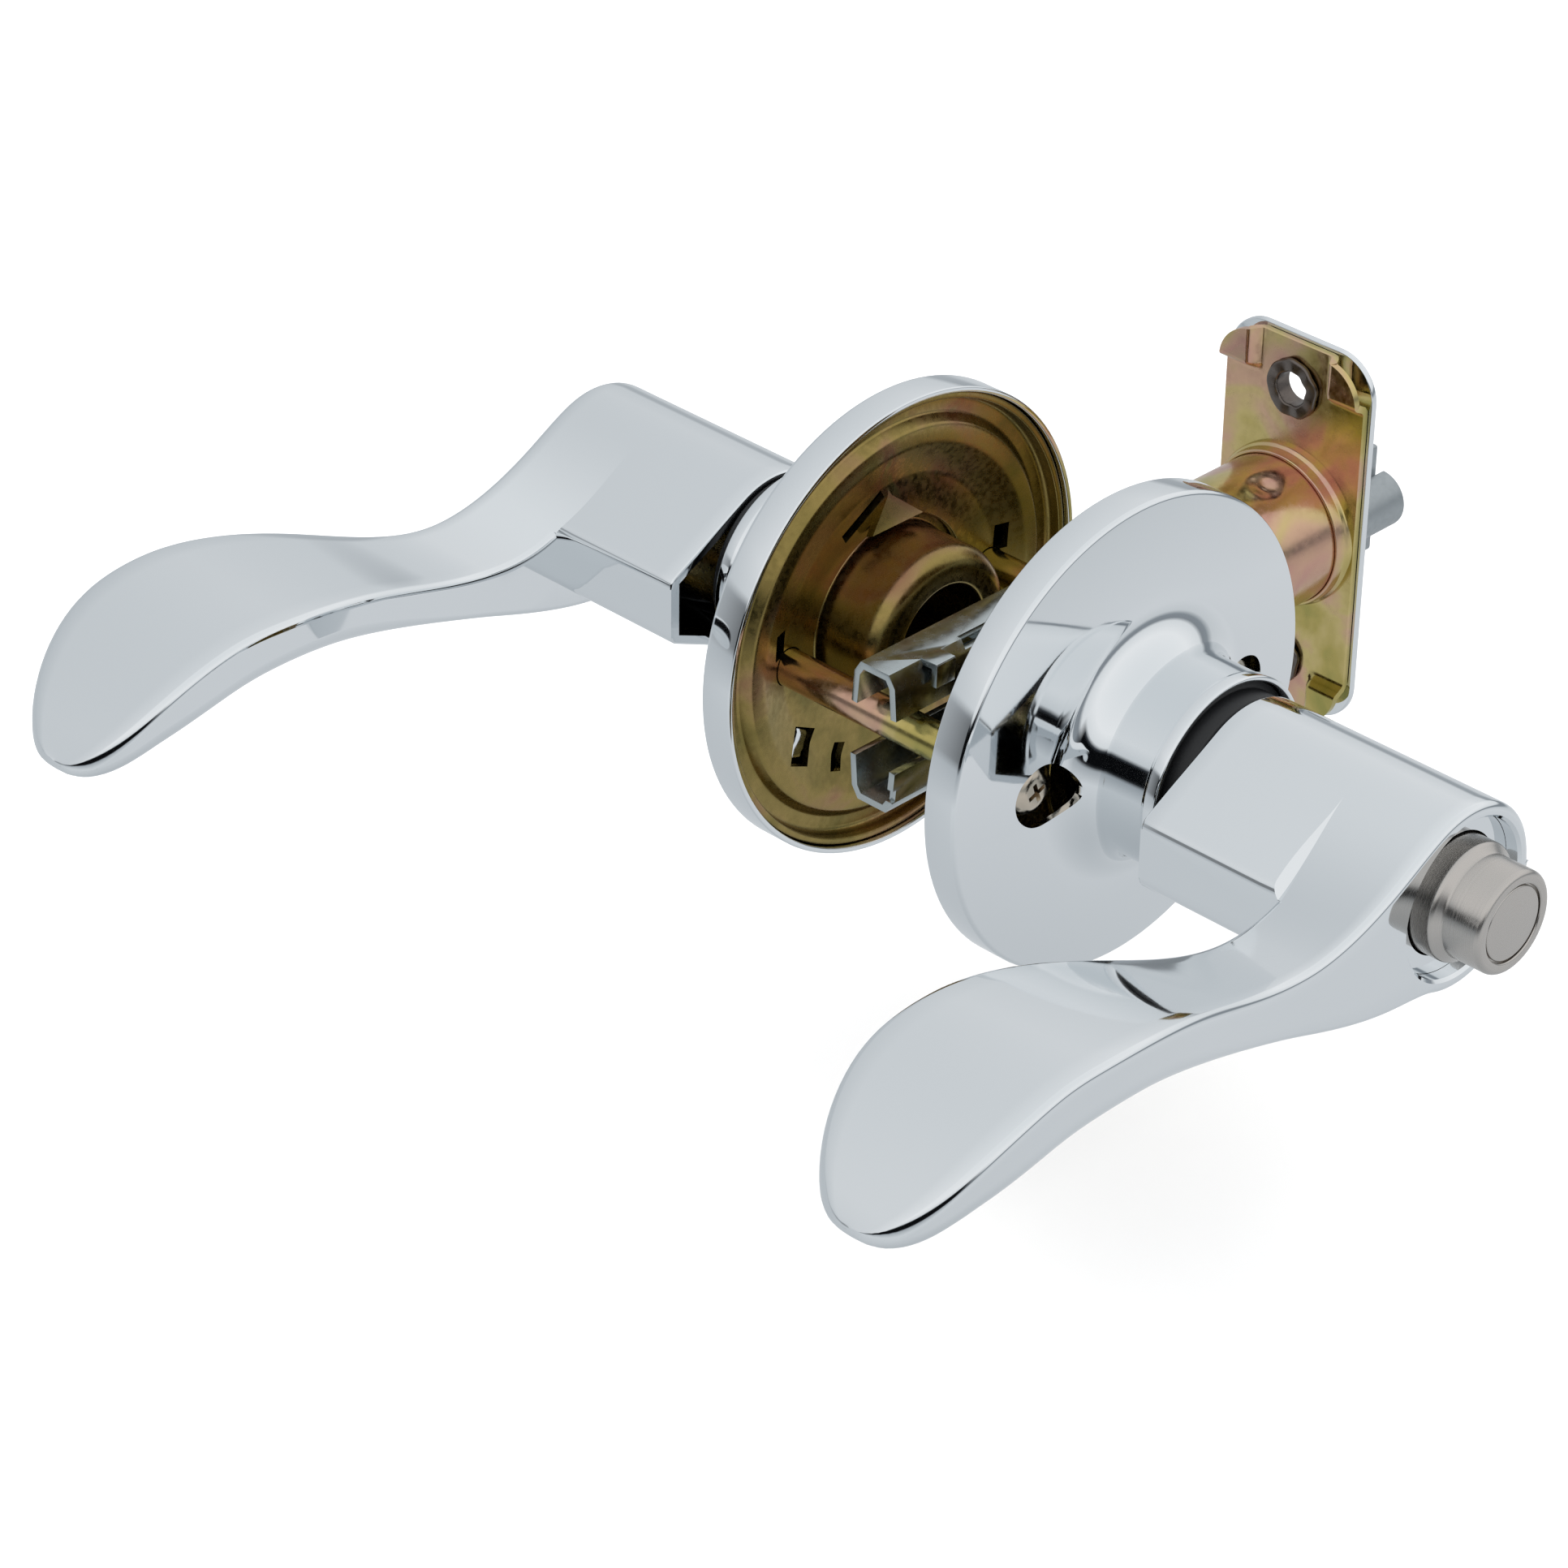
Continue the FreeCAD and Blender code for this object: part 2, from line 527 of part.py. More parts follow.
def posts_and_screws():
    """Two threaded posts on the outside plate and the screws that draw the roses together."""
    face = "door_thickness / 2 + liner_floor + liner_wall"
    seat, top = "-(%s)" % face, "-(%s) - head_height" % face
    posts, screws = [], []
    for name, reach in (("front", SCREW_REACH), ("rear", "-" + SCREW_REACH)):
        at = (reach, "0", "0")
        outer = rod("post_" + name, "post_radius", "y", "-" + POST_END, face, at)
        bore = rod("post_bore_" + name, "screw_radius + seat_gap / 2", "y", "-%s - 1" % POST_END,
                   "screw_depth - " + POST_END, at)
        posts.append(cut("post_part_" + name, outer, bore))
        head = rod("head_" + name, "head_radius", "y", top, seat, at)
        stem = rod("stem_" + name, "screw_radius", "y", seat, "screw_depth - %s - screw_spare" % POST_END, at)
        cross = [box("drive_%s_%s" % (name, axis), (reach + " - " + a, reach + " + " + a),
                     (top + " - 1", top + " + drive_depth"), ("-" + b, b))
                 for axis, a, b in (("flat", "drive_reach", "drive_half"),
                                    ("tall", "drive_half", "drive_reach"))]
        screws.append(cut("screw_" + name, fuse("screw_blank_" + name, head, stem),
                          fuse("drive_" + name, *cross)))
    for label, pieces in (("mounting_posts", posts), ("mounting_screws", screws)):
        group = doc.addObject("Part::Compound", label)
        group.Links = pieces
        sub_part(group, label)


posts_and_screws()


def spindle():
    """Half-round spindle that turns both sleeves and the latch hub."""
    reach = "door_thickness / 2 + key_web + web_wall"
    bar = rod("spindle_round", "spindle_radius", "y", "-(%s)" % reach, reach)
    lower = box("spindle_lower", ("-spindle_radius - 1", "spindle_radius + 1"), ("-(%s)" % reach, reach),
                ("-spindle_radius - 1", "-spindle_flat"))
    sub_part(common("drive_spindle", bar, lower), "drive_spindle")


spindle()


# ---------------------------------------------------------------- latch

def plate_blank(name, start, end, inset):
    """A faceplate blank with rounded corners, square to x."""
    body = doc.addObject("PartDesign::Body", name)
    wide, tall = "plate_width / 2 - %s" % inset, "plate_height / 2 - %s" % inset
    sketch = polygon_sketch(body, name + "_outline", "YZ_Plane", [
        ("-(%s)" % wide, "-(%s)" % tall), (wide, "-(%s)" % tall), (wide, tall), ("-(%s)" % wide, tall)])
    pad = body.newObject("PartDesign::Pad", name + "_pad")
    pad.Profile = sketch
    bind(pad, Length="(%s) - (%s)" % (end, start))
    doc.recompute()
    corners = ["Edge%d" % (i + 1) for i, e in enumerate(pad.Shape.Edges)
               if e.BoundBox.YLength < 1e-6 and e.BoundBox.ZLength < 1e-6]
    fillet = body.newObject("PartDesign::Fillet", name + "_corners")
    fillet.Base = (pad, corners)
    bind(fillet, Radius="plate_corner - %s" % inset)
    bind(body, Placement__Base__x=start)
    doc.recompute()
    return body


def band(low, high, flip):
    """A stretch between two distances, on the minus side if it is flipped."""
    return ("-(%s)" % high, "-(%s)" % low) if flip else (low, high)


def latch_plates():
    """Chrome faceplate over a yellow-zinc plate, joined by two crimped eyelets."""
    half = "hole_pitch / 2"
    blank = plate_blank("faceplate_blank", "backset - plate_wall", "backset", "0")
    through = ("backset - plate_wall - 1", "backset + 1")
    window = rod("bolt_window", BOLT_RADIUS + " + window_gap", "x", *through)
    holes = [rod("face_hole_" + n, "eyelet_bore + eyelet_wall + seat_gap", "x", *through, ("0", "0", h))
             for n, h in (("top", half), ("low", "-" + half))]
    sub_part(cut("latch_faceplate", blank, fuse("face_cuts", window, *holes)), "latch_faceplate")

    back = "backset - plate_wall - seat_gap - back_wall"
    plate = plate_blank("backplate_blank", back, back + " + back_wall", "back_inset")
    flare = turned_body("backplate_collar", [
        ("tube_radius + running_gap", "0"), ("tube_radius + collar_flare + collar_wall", "0"),
        ("tube_radius + collar_flare", "-collar_wall"),
        ("tube_radius + collar_wall", "collar_wall / 2 - collar_tall"),
        ("tube_radius + running_gap", "-collar_tall"),
    ])
    flare.Placement = Placement(Vector(), ALONG["x"])
    bind(flare, Placement__Base__x=back)
    step = back + " - tab_set - back_wall"
    wide = "plate_width / 2 - back_inset - tab_width"
    tall = "plate_height / 2 - back_inset - tab_height"
    tabs, reliefs = [], []
    for a, near in (("near", True), ("far", False)):
        for b, low in (("top", False), ("low", True)):
            corner = "_%s_%s" % (a, b)
            tabs.append(box("tab" + corner, (step, back), band(wide, "plate_width", near),
                            band(tall, "plate_height", low)))
            reliefs.append(box("tab_relief" + corner, (back + " - tab_set", back + " + back_wall + 1"),
                               band(wide + " + back_wall", "plate_width", near),
                               band(tall + " + back_wall", "plate_height", low)))
    raised = common("backplate_tabs", fuse("tab_blocks", *tabs),
                    plate_blank("tab_outline", step, back, "back_inset"))
    bore = rod("backplate_bore", "tube_radius + running_gap", "x", back + " - collar_tall - 1", "backset")
    shell = fuse("backplate_solid", plate, flare, raised)
    holes = [rod("back_hole_" + n, "eyelet_bore + eyelet_wall + seat_gap / 3", "x", back + " - 1",
                 back + " + back_wall + 1", ("0", "0", h)) for n, h in (("top", half), ("low", "-" + half))]
    sub_part(cut("latch_backplate", shell, fuse("back_cuts", bore, *(holes + reliefs))), "latch_backplate")

    eyelets = []
    foot = back + " - eyelet_stand"
    for n, h in (("top", half), ("low", "-" + half)):
        at = ("0", "0", h)
        tube = rod("eyelet_tube_" + n, "eyelet_bore + eyelet_wall", "x", foot, "backset - seat_gap", at)
        flange = rod("eyelet_flange_" + n, "eyelet_flange", "x", foot, back + " - running_gap", at)
        bore = rod("eyelet_bore_" + n, "eyelet_bore", "x", foot + " - 1", "backset + 1", at)
        eyelets.append(cut("eyelet_" + n, fuse("eyelet_blank_" + n, tube, flange), bore))
    group = doc.addObject("Part::Compound", "plate_eyelets")
    group.Links = eyelets
    sub_part(group, "plate_eyelets")


latch_plates()


def latch_tube():
    """Rolled tube from the tail frame to the faceplate."""
    body = turned_body("latch_tube", [
        ("tube_radius - tube_wall", TUBE_START), ("tube_radius", TUBE_START),
        ("tube_radius", "backset - plate_wall - seat_gap / 3"),
        ("tube_radius - tube_wall", "backset - plate_wall - seat_gap / 3"),
    ])
    sub_part(body, "latch_tube", Placement(Vector(), ALONG["x"]))


latch_tube()


def tail_frame(label, below):
    """Channel stamping above or below the hub, with a tongue into the tube."""
    end = TUBE_START + " - seat_gap"
    outer = box(label + "_outer", ("-tail_end", end), ("-tail_half", "tail_half"),
                band("tail_low", TAIL_TOP, below))
    inner = box(label + "_inner", ("-tail_end - 1", end + " - tail_wall"),
                ("-tail_half + tail_wall", "tail_half - tail_wall"),
                band("tail_low - 1", TAIL_TOP + " - tail_wall", below))
    tongue = box(label + "_tongue", (end + " - tail_wall", "tongue_end"), ("-tongue_half", "tongue_half"),
                 band(BOLT_RADIUS + " - tongue_wall", BOLT_RADIUS, below))
    side = "draw_inner + draw_wall + head_clear"
    slot = box(label + "_draw_slot", (end + " - tail_wall - 1", end + " + 1"), ("-(%s)" % side, side),
               band(DRAW_LOW + " - head_clear", DRAW_HIGH + " + seat_gap", below))
    pieces = [outer, tongue]
    if not below:
        pieces.append(box(label + "_hook", ("hook_start - tail_end", "hook_end - tail_end"),
                          ("-tail_half - hook_stand", "tail_wall / 2 - tail_half"),
                          (TAIL_TOP + " - hook_depth", TAIL_TOP + " + head_clear")))
    sub_part(cut(label, fuse(label + "_blank", *pieces), fuse(label + "_cuts", inner, slot)), label)


tail_frame("tail_frame_upper", False)
tail_frame("tail_frame_lower", True)


def hub_and_drawbar():
    """Hub on the spindle, and the bar by which it draws the bolt back."""
    disc = rod("hub_disc", "hub_radius", "y", "-hub_half", "hub_half")
    lug = box("hub_lug", ("-lug_half", "lug_half"), ("-hub_half", "hub_half"), ("0", LUG_REACH))
    through = ("-hub_half - 1", "hub_half + 1")
    bore = rod("hub_bore", "spindle_radius + running_gap", "y", *through)
    lower = box("hub_lower", ("-spindle_radius - 1", "spindle_radius + 1"), through,
                ("-spindle_radius - 1", "-spindle_flat + running_gap"))
    blank = fuse("hub_blank", disc, lug)
    sub_part(cut("retractor_hub", blank, common("hub_key", bore, lower)), "retractor_hub")

    wide, height = "draw_inner + draw_wall", (DRAW_LOW, DRAW_HIGH)
    back, end = "-lug_half - 1 - draw_back", "bolt_tail - seat_gap / 3"
    strips = [box("draw_strip_" + n, (back, end), y, height)
              for n, y in (("near", ("-(%s)" % wide, "-draw_inner")), ("far", ("draw_inner", wide)))]
    cross = box("draw_cross", (back, "-lug_half - 1"), ("-(%s)" % wide, wide), height)
    bridge = box("draw_bridge", (end + " - draw_bridge", end), ("-bridge_half", "bridge_half"),
                 ("-coil_radius - coil_wire", DRAW_HIGH))
    sub_part(fuse("drawbar", cross, bridge, *strips), "drawbar")


hub_and_drawbar()


def bolt_and_plunger():
    """Round bolt with a flat and a bevel, and the half-round plunger that lies on the flat."""
    end = "backset + bolt_throw"
    stock = rod("bolt_stock", BOLT_RADIUS, "x", "bolt_tail", end)
    keep = box("bolt_keep", ("bolt_tail - 1", end + " + 1"), ("-bolt_flat", BOLT_RADIUS),
               ("-bolt_tall / 2", "bolt_tall / 2"))
    body = doc.addObject("PartDesign::Body", "bolt_bevel")
    sketch = polygon_sketch(body, "bolt_bevel_outline", "XY_Plane", [
        ("backset + bevel_start", BOLT_RADIUS + " + 1"), (end + " + 1", BOLT_RADIUS + " + 1"),
        (end + " + 1", "bevel_side"), (end, "bevel_side")])
    pad = body.newObject("PartDesign::Pad", "bolt_bevel_pad")
    pad.Profile = sketch
    pad.Midplane = True
    bind(pad, Length=BOLT_RADIUS + " * 3")
    doc.recompute()
    sub_part(cut("latch_bolt", common("bolt_round", stock, keep), body), "latch_bolt")

    face = "-bolt_flat - plunger_gap"
    tip = "backset + plunger_throw"
    stock = rod("plunger_stock", "plunger_radius", "x", "plunger_tail", tip, ("0", face, "0"))
    keep = box("plunger_keep", ("plunger_tail - 1", tip + " + 1"), (face + " - plunger_radius - 1", face),
               ("-plunger_radius - 1", "plunger_radius + 1"))
    sub_part(common("deadlatch_plunger", stock, keep), "deadlatch_plunger")

    spring = coil("bolt_spring", "coil_radius", "coil_wire", TUBE_START + " + coil_gap",
                  "bolt_tail - draw_bridge - coil_gap", 7)
    sub_part(spring, "bolt_spring", Placement(Vector(), ALONG["x"]))
    spring = coil("plunger_spring", "plunger_coil", "plunger_wire", TUBE_START + " + coil_gap * 2",
                  "plunger_tail - coil_gap", 9)
    offset = number("bolt_flat + plunger_gap + plunger_radius / 2")
    sub_part(spring, "plunger_spring", Placement(Vector(0, -offset, 0), ALONG["x"]))


bolt_and_plunger()

# ---------------------------------------------------------------- check and write

doc.recompute()
for thing in doc.Objects:
    if any(word in thing.State for word in ("Invalid", "Error")):
        raise RuntimeError("%s failed: %s" % (thing.Label, thing.State))
os.makedirs("parts", exist_ok=True)
for thing in PARTS:
    shape = thing.Shape
    if shape.isNull() or not shape.isValid() or not shape.Solids:
        raise RuntimeError("%s has no sound solid" % thing.Label)
for thing in PARTS:
    thing.Shape.exportStep("parts/%s.step" % thing.Label)
print("%d sub-parts" % len(PARTS))
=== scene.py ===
import math

import bpy
import numpy as np
from mathutils import Matrix, Vector
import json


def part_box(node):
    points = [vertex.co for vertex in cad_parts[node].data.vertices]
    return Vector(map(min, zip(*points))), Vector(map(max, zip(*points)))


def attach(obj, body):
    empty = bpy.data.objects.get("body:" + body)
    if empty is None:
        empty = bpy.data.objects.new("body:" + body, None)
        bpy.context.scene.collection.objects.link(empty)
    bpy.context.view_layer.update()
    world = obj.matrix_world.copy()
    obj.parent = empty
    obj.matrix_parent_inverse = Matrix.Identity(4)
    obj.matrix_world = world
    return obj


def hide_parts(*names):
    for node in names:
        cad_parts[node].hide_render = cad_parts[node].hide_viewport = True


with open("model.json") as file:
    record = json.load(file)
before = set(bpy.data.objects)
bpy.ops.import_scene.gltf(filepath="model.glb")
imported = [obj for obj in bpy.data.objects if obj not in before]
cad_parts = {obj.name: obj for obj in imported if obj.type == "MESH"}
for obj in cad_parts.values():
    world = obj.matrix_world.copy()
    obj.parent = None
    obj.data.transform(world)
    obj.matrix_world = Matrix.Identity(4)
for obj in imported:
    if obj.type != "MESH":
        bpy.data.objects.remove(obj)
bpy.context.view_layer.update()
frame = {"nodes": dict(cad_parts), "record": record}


# ---------------------------------------------------------------- the studio
# A pale table below the lockset and a white room round it. Polished metal mirrors that
# room: white above, a pale floor below, and between them a grey line that is black on one side.

def linear(code):
    """An sRGB hex colour as linear red, green, blue and alpha."""
    parts = [int(code[i:i + 2], 16) / 255 for i in (1, 3, 5)]
    return [c / 12.92 if c <= 0.04045 else ((c + 0.055) / 1.055) ** 2.4 for c in parts] + [1.0]


def add(tree, kind, settings=None, links=None):
    """A node with its settings, by property or socket name, and its links by socket name."""
    node = tree.nodes.new(kind)
    for name, value in (settings or {}).items():
        if isinstance(name, str) and name.islower() and hasattr(node, name):
            setattr(node, name, value)
        else:
            node.inputs[name].default_value = value
    for name, source in (links or {}).items():
        tree.links.new(source, node.inputs[name])
    return node


def ramp(tree, source, stops):
    """A colour ramp through (place, hex colour) stops."""
    node = add(tree, "ShaderNodeValToRGB", links={"Fac": source})
    elements = node.color_ramp.elements
    elements[0].position, elements[0].color = stops[0][0], linear(stops[0][1])
    elements[1].position, elements[1].color = stops[-1][0], linear(stops[-1][1])
    for place, code in stops[1:-1]:
        elements.new(place).color = linear(code)
    return node.outputs["Color"]


def deselect():
    """Nothing is picked, so the next operator works on the new piece alone."""
    if bpy.context.object and bpy.context.object.mode != "OBJECT":
        bpy.ops.object.mode_set(mode="OBJECT")
    bpy.ops.object.select_all(action="DESELECT")


def pick(piece):
    """This piece alone is selected and active."""
    deselect()
    piece.select_set(True)
    bpy.context.view_layer.objects.active = piece


deselect()
table_drop = 0.075
bpy.ops.mesh.primitive_plane_add(size=6, location=(0, 0, -table_drop))
table = bpy.context.object
table.name = "table"
table.visible_glossy = False
table_paint = bpy.data.materials.new("matt_white_table")
table_paint.use_nodes = True
table_shader = table_paint.node_tree.nodes["Principled BSDF"]
table_shader.inputs["Base Color"].default_value = linear("#FCFCFC")
table_shader.inputs["Roughness"].default_value = 0.9
table.data.materials.append(table_paint)

azimuth, elevation, roll = math.radians(46.0), math.radians(31.69), math.radians(0.93)
distance, aside, above, between = 0.7423, 0.03014, 0.01433, -0.0019
ahead = Vector((math.sin(azimuth) * math.cos(elevation), math.cos(azimuth) * math.cos(elevation),
                -math.sin(elevation)))
level = Vector((math.cos(azimuth), -math.sin(azimuth), 0))
upright = level.cross(ahead)
right = level * math.cos(roll) + upright * math.sin(roll)
up = upright * math.cos(roll) - level * math.sin(roll)
eye = Vector((0, between, 0)) - ahead * distance - right * aside - up * above
bpy.ops.object.camera_add()
camera = bpy.context.object
camera.data.sensor_width = 36
camera.data.lens = 128.93
camera.data.clip_start = 0.01
camera.matrix_world = Matrix((
    (right.x, up.x, -ahead.x, eye.x), (right.y, up.y, -ahead.y, eye.y),
    (right.z, up.z, -ahead.z, eye.z), (0, 0, 0, 1)))
bpy.context.scene.camera = camera
bpy.context.scene.view_settings.view_transform = "Standard"

for name, place, size, power in (("overhead_lamp", (-0.1, 0.1, 1.2), 1.6, 9.0),
                                 ("left_lamp", (-1.0, -0.5, 0.9), 1.0, 5.0)):
    bpy.ops.object.light_add(type="AREA", location=place)
    lamp = bpy.context.object
    lamp.name = name
    lamp.data.energy = power
    lamp.data.size = size
    lamp.visible_glossy = False
    lamp.rotation_euler = (-Vector(place)).to_track_quat("-Z", "Y").to_euler()

world = bpy.data.worlds.new("white_room")
bpy.context.scene.world = world
world.use_nodes = True
room = world.node_tree
room.nodes.clear()
towards = add(room, "ShaderNodeTexCoord").outputs["Generated"]
parts = add(room, "ShaderNodeSeparateXYZ", links={"Vector": towards})
share = add(room, "ShaderNodeMapRange", {"From Min": -1.0}, {"Value": parts.outputs["Z"]})
pale = ramp(room, share.outputs["Result"], [
    (0.0, "#C2C7CB"), (0.3, "#DDE0E3"), (0.42, "#D2D6D9"), (0.47, "#8E959B"), (0.52, "#8A9096"),
    (0.56, "#E6E9EB"), (0.72, "#F8F9FA"), (1.0, "#EDF0F2")])
dark = ramp(room, share.outputs["Result"], [
    (0.0, "#C2C7CB"), (0.3, "#DADEE1"), (0.42, "#AEB4B9"), (0.45, "#2A2C2F"), (0.47, "#0B0C0E"),
    (0.58, "#0A0B0D"), (0.60, "#3A3E43"), (0.63, "#E6E9EB"), (0.74, "#F8F9FA"), (1.0, "#EDF0F2")])
leftward = add(room, "ShaderNodeMapRange", {"From Min": -0.35, "From Max": -0.6},
               {"Value": parts.outputs["X"]})
walls = add(room, "ShaderNodeMix", {"data_type": "RGBA"},
            {"Factor": leftward.outputs["Result"], 6: pale, 7: dark}).outputs[2]
behind = add(room, "ShaderNodeMapRange", {"From Min": 0.35, "From Max": 0.8},
             {"Value": parts.outputs["Y"]})
open_wall = add(room, "ShaderNodeMix", {"data_type": "RGBA", 7: linear("#C7CCD0")},
                {"Factor": behind.outputs["Result"], 6: walls})
seen_by = add(room, "ShaderNodeLightPath").outputs["Is Glossy Ray"]
mirrored = add(room, "ShaderNodeMix", {"data_type": "RGBA", 6: linear("#FFFFFF")},
               {"Factor": seen_by, 7: open_wall.outputs[2]})
glow = add(room, "ShaderNodeBackground", {"Strength": 1.0}, {"Color": mirrored.outputs[2]})
add(room, "ShaderNodeOutputWorld", links={"Surface": glow.outputs["Background"]})


# ---------------------------------------------------------------- the two roses
# Pressed steel covers over the cross bore, buffed and chromed: a flat rim, a shallow
# dome, and a bell-mouthed neck with a beaded lip. The inside one has two screw holes.

# Sizes are in millimetres. Local z points away from the door's face, and x along the blade.
MM = 0.001
half_door = -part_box("inside_rose")[1].y
PLACE = {
    "inside": Matrix(((1, 0, 0, 0), (0, 0, -1, -half_door), (0, 1, 0, 0), (0, 0, 0, 1))),
    "outside": Matrix(((-1, 0, 0, 0), (0, 0, 1, half_door), (0, 1, 0, 0), (0, 0, 0, 1))),
}


def finish_of(name, colour, rough, metal=1.0):
    """A new material with its shader's own colour, metal and roughness set."""
    made = bpy.data.materials.new(name)
    made.use_nodes = True
    shader = made.node_tree.nodes["Principled BSDF"]
    shader.inputs["Base Color"].default_value = linear(colour)
    shader.inputs["Metallic"].default_value = metal
    shader.inputs["Roughness"].default_value = rough
    return made, made.node_tree, shader


def grain(tree, shader, size, depth, rough=None, detail=3.0):
    """Fine unevenness of a given size in millimetres, as bump and as a spread of roughness."""
    place = add(tree, "ShaderNodeTexCoord").outputs["Object"]
    noise = add(tree, "ShaderNodeTexNoise", {"Scale": 1 / (size * MM), "Detail": detail}, {"Vector": place})
    bump = add(tree, "ShaderNodeBump", {"Strength": 1.0, "Distance": depth * MM},
               {"Height": noise.outputs["Fac"]})
    tree.links.new(bump.outputs["Normal"], shader.inputs["Normal"])
    if rough:
        spread = add(tree, "ShaderNodeMapRange", {"From Min": 0.3, "From Max": 0.7, "To Min": rough[0],
                                                  "To Max": rough[1]}, {"Value": noise.outputs["Fac"]})
        tree.links.new(spread.outputs["Result"], shader.inputs["Roughness"])
    return place


# Polished chrome plate: a mirror with a cold tint, and the faint waviness of buffed metal.
chrome, tree, shader = finish_of("polished_chrome_plate", "#E6E9EB", 0.04)
grain(tree, shader, 9.0, 0.004, (0.03, 0.07))


def rounded(corners, steps=6):
    """A closed outline through (radius, height, rounding) corners, each rounded by an arc."""
    points = []
    for index, (x, y, radius) in enumerate(corners):
        corner = Vector((x, y))
        if radius == 0:
            points.append((x, y))
            continue
        back = (Vector(corners[index - 1][:2]) - corner).normalized()
        onward = (Vector(corners[(index + 1) % len(corners)][:2]) - corner).normalized()
        half = back.angle(onward) / 2
        centre = corner + (back + onward).normalized() * radius / math.sin(half)
        start = corner + back * radius / math.tan(half) - centre
        end = corner + onward * radius / math.tan(half) - centre
        sweep = start.angle(end)
        quarters = sweep / 1.57
        count = max(3, round(steps * quarters * min(max(radius, 0.4), 3) ** 0.5))
        for k in range(count + 1):
            from_start, from_end = math.sin(sweep * (1 - k / count)), math.sin(sweep * k / count)
            point = centre + (start * from_start + end * from_end) / math.sin(sweep)
            points.append((point.x, point.y))
    return points


def turned(name, outline, steps=128, closed=True):
    """A ring extruded and resized step by step round the z axis, as a lathe would turn it."""
    deselect()
    path = list(outline) + ([outline[0]] if closed else [])
    radius, height = path[0]
    bpy.ops.mesh.primitive_circle_add(vertices=steps, radius=radius * MM, location=(0, 0, height * MM))
    piece = bpy.context.object
    piece.name = name
    bpy.ops.object.transform_apply()
    bpy.ops.object.mode_set(mode="EDIT")
    bpy.ops.mesh.select_all(action="SELECT")
    for (r0, h0), (r1, h1) in zip(path, path[1:]):
        bpy.ops.mesh.extrude_edges_move(TRANSFORM_OT_translate={"value": (0, 0, (h1 - h0) * MM)})
        bpy.ops.transform.resize(value=(r1 / r0, r1 / r0, 1), center_override=(0, 0, h1 * MM))
    bpy.ops.mesh.select_all(action="SELECT")
    bpy.ops.mesh.remove_doubles(threshold=0.000025)
    bpy.ops.mesh.normals_make_consistent(inside=False)
    bpy.ops.object.mode_set(mode="OBJECT")
    return piece


def boolean(piece, tool, kind="DIFFERENCE"):
    """Cuts a tool out of a piece, or joins it on, and clears the tool away."""
    pick(piece)
    step = piece.modifiers.new("cut", "BOOLEAN")
    step.operation = kind
    step.solver = "EXACT"
    step.object = tool
    bpy.ops.object.modifier_apply(modifier="cut")
    bpy.data.objects.remove(tool)


def plain_rod(radius, start, end, at=(0, 0), steps=64):
    """A cutting rod along local z."""
    deselect()
    bpy.ops.mesh.primitive_cylinder_add(vertices=steps, radius=radius * MM, depth=(end - start) * MM,
                                        location=(at[0] * MM, at[1] * MM, (start + end) / 2 * MM))
    bpy.ops.object.transform_apply()
    return bpy.context.object


def settle(piece, material, body, nodes, place=None, angle=32):
    """Puts a finished piece in its place, smooths it, and gives it its finish and body."""
    pick(piece)
    if place is not None:
        piece.matrix_world = place
        bpy.ops.object.transform_apply()
    bpy.ops.object.mode_set(mode="EDIT")
    bpy.ops.mesh.select_all(action="SELECT")
    bpy.ops.mesh.remove_doubles(threshold=0.000002)
    bpy.ops.mesh.normals_make_consistent(inside=False)
    bpy.ops.object.mode_set(mode="OBJECT")
    bpy.ops.object.shade_smooth_by_angle(angle=math.radians(angle))
    piece.data.materials.clear()
    piece.data.materials.append(material)
    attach(piece, body)
    if nodes:
        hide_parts(*nodes)
    return piece


rose_radius, rose_wall, rose_edge, rose_dome, dome_radius = 33.59, 0.8, 5.1, 7.4, 22.0
neck_radius, neck_length, neck_flare, lip_stand = 14.6, 21.8, 5.6, 0.25
neck_foot, bead_low, bead_high = rose_dome + 0.4, neck_length - 2.2, neck_length - 1.7
rose_corners = [
    (rose_radius - rose_wall, 0, 0.25), (rose_radius, 0, 0.25), (rose_radius, rose_edge, 0.7),
    (dome_radius, rose_dome, 0), (neck_radius - lip_stand, neck_foot, neck_flare),
    (neck_radius - lip_stand, bead_low, 0.3), (neck_radius, bead_high, 0.3),
    (neck_radius, neck_length, 0.35), (neck_radius - rose_wall, neck_length, 0.35),
    (neck_radius - rose_wall - lip_stand / 2, neck_foot - rose_wall, neck_flare + rose_wall),
    (dome_radius, rose_dome - rose_wall, 0), (rose_radius - rose_wall, rose_edge - rose_wall, 0.2),
]
screw_reach, screw_hole = 19.5, 4.5
for side in ("inside", "outside"):
    rose = turned(side + "_rose_cover", rounded(rose_corners, 9))
    if side == "inside":
        for reach in (screw_reach, -screw_reach):
            boolean(rose, plain_rod(screw_hole, 3, 20, (reach, 0), 72))
    settle(rose, chrome, "chassis", [side + "_rose"], PLACE[side])


# ---------------------------------------------------------------- the two levers
# Zinc castings, polished and chromed: a hollow D-shaped shank and a wave-shaped blade that
# leaves its front half. Where the blade drops below the shank's flat top, a crease runs out.

hub_radius, shank_reach, corner_top, corner_low = 13.0, 20.0, 4.0, -5.5
corner_round, lever_start, lever_front, blade_half = 1.8, 24.5, 60.6, 6.9
blade_reach, blade_full, blade_tip, edge_round = 102.9, 13.0, 82.5, 1.0
tip_power, tip_lift, tip_run = 2.3, 2.4, 6.0
blade_middle = lever_front - blade_half
tangent, crease_drift = 5.0, 1.4


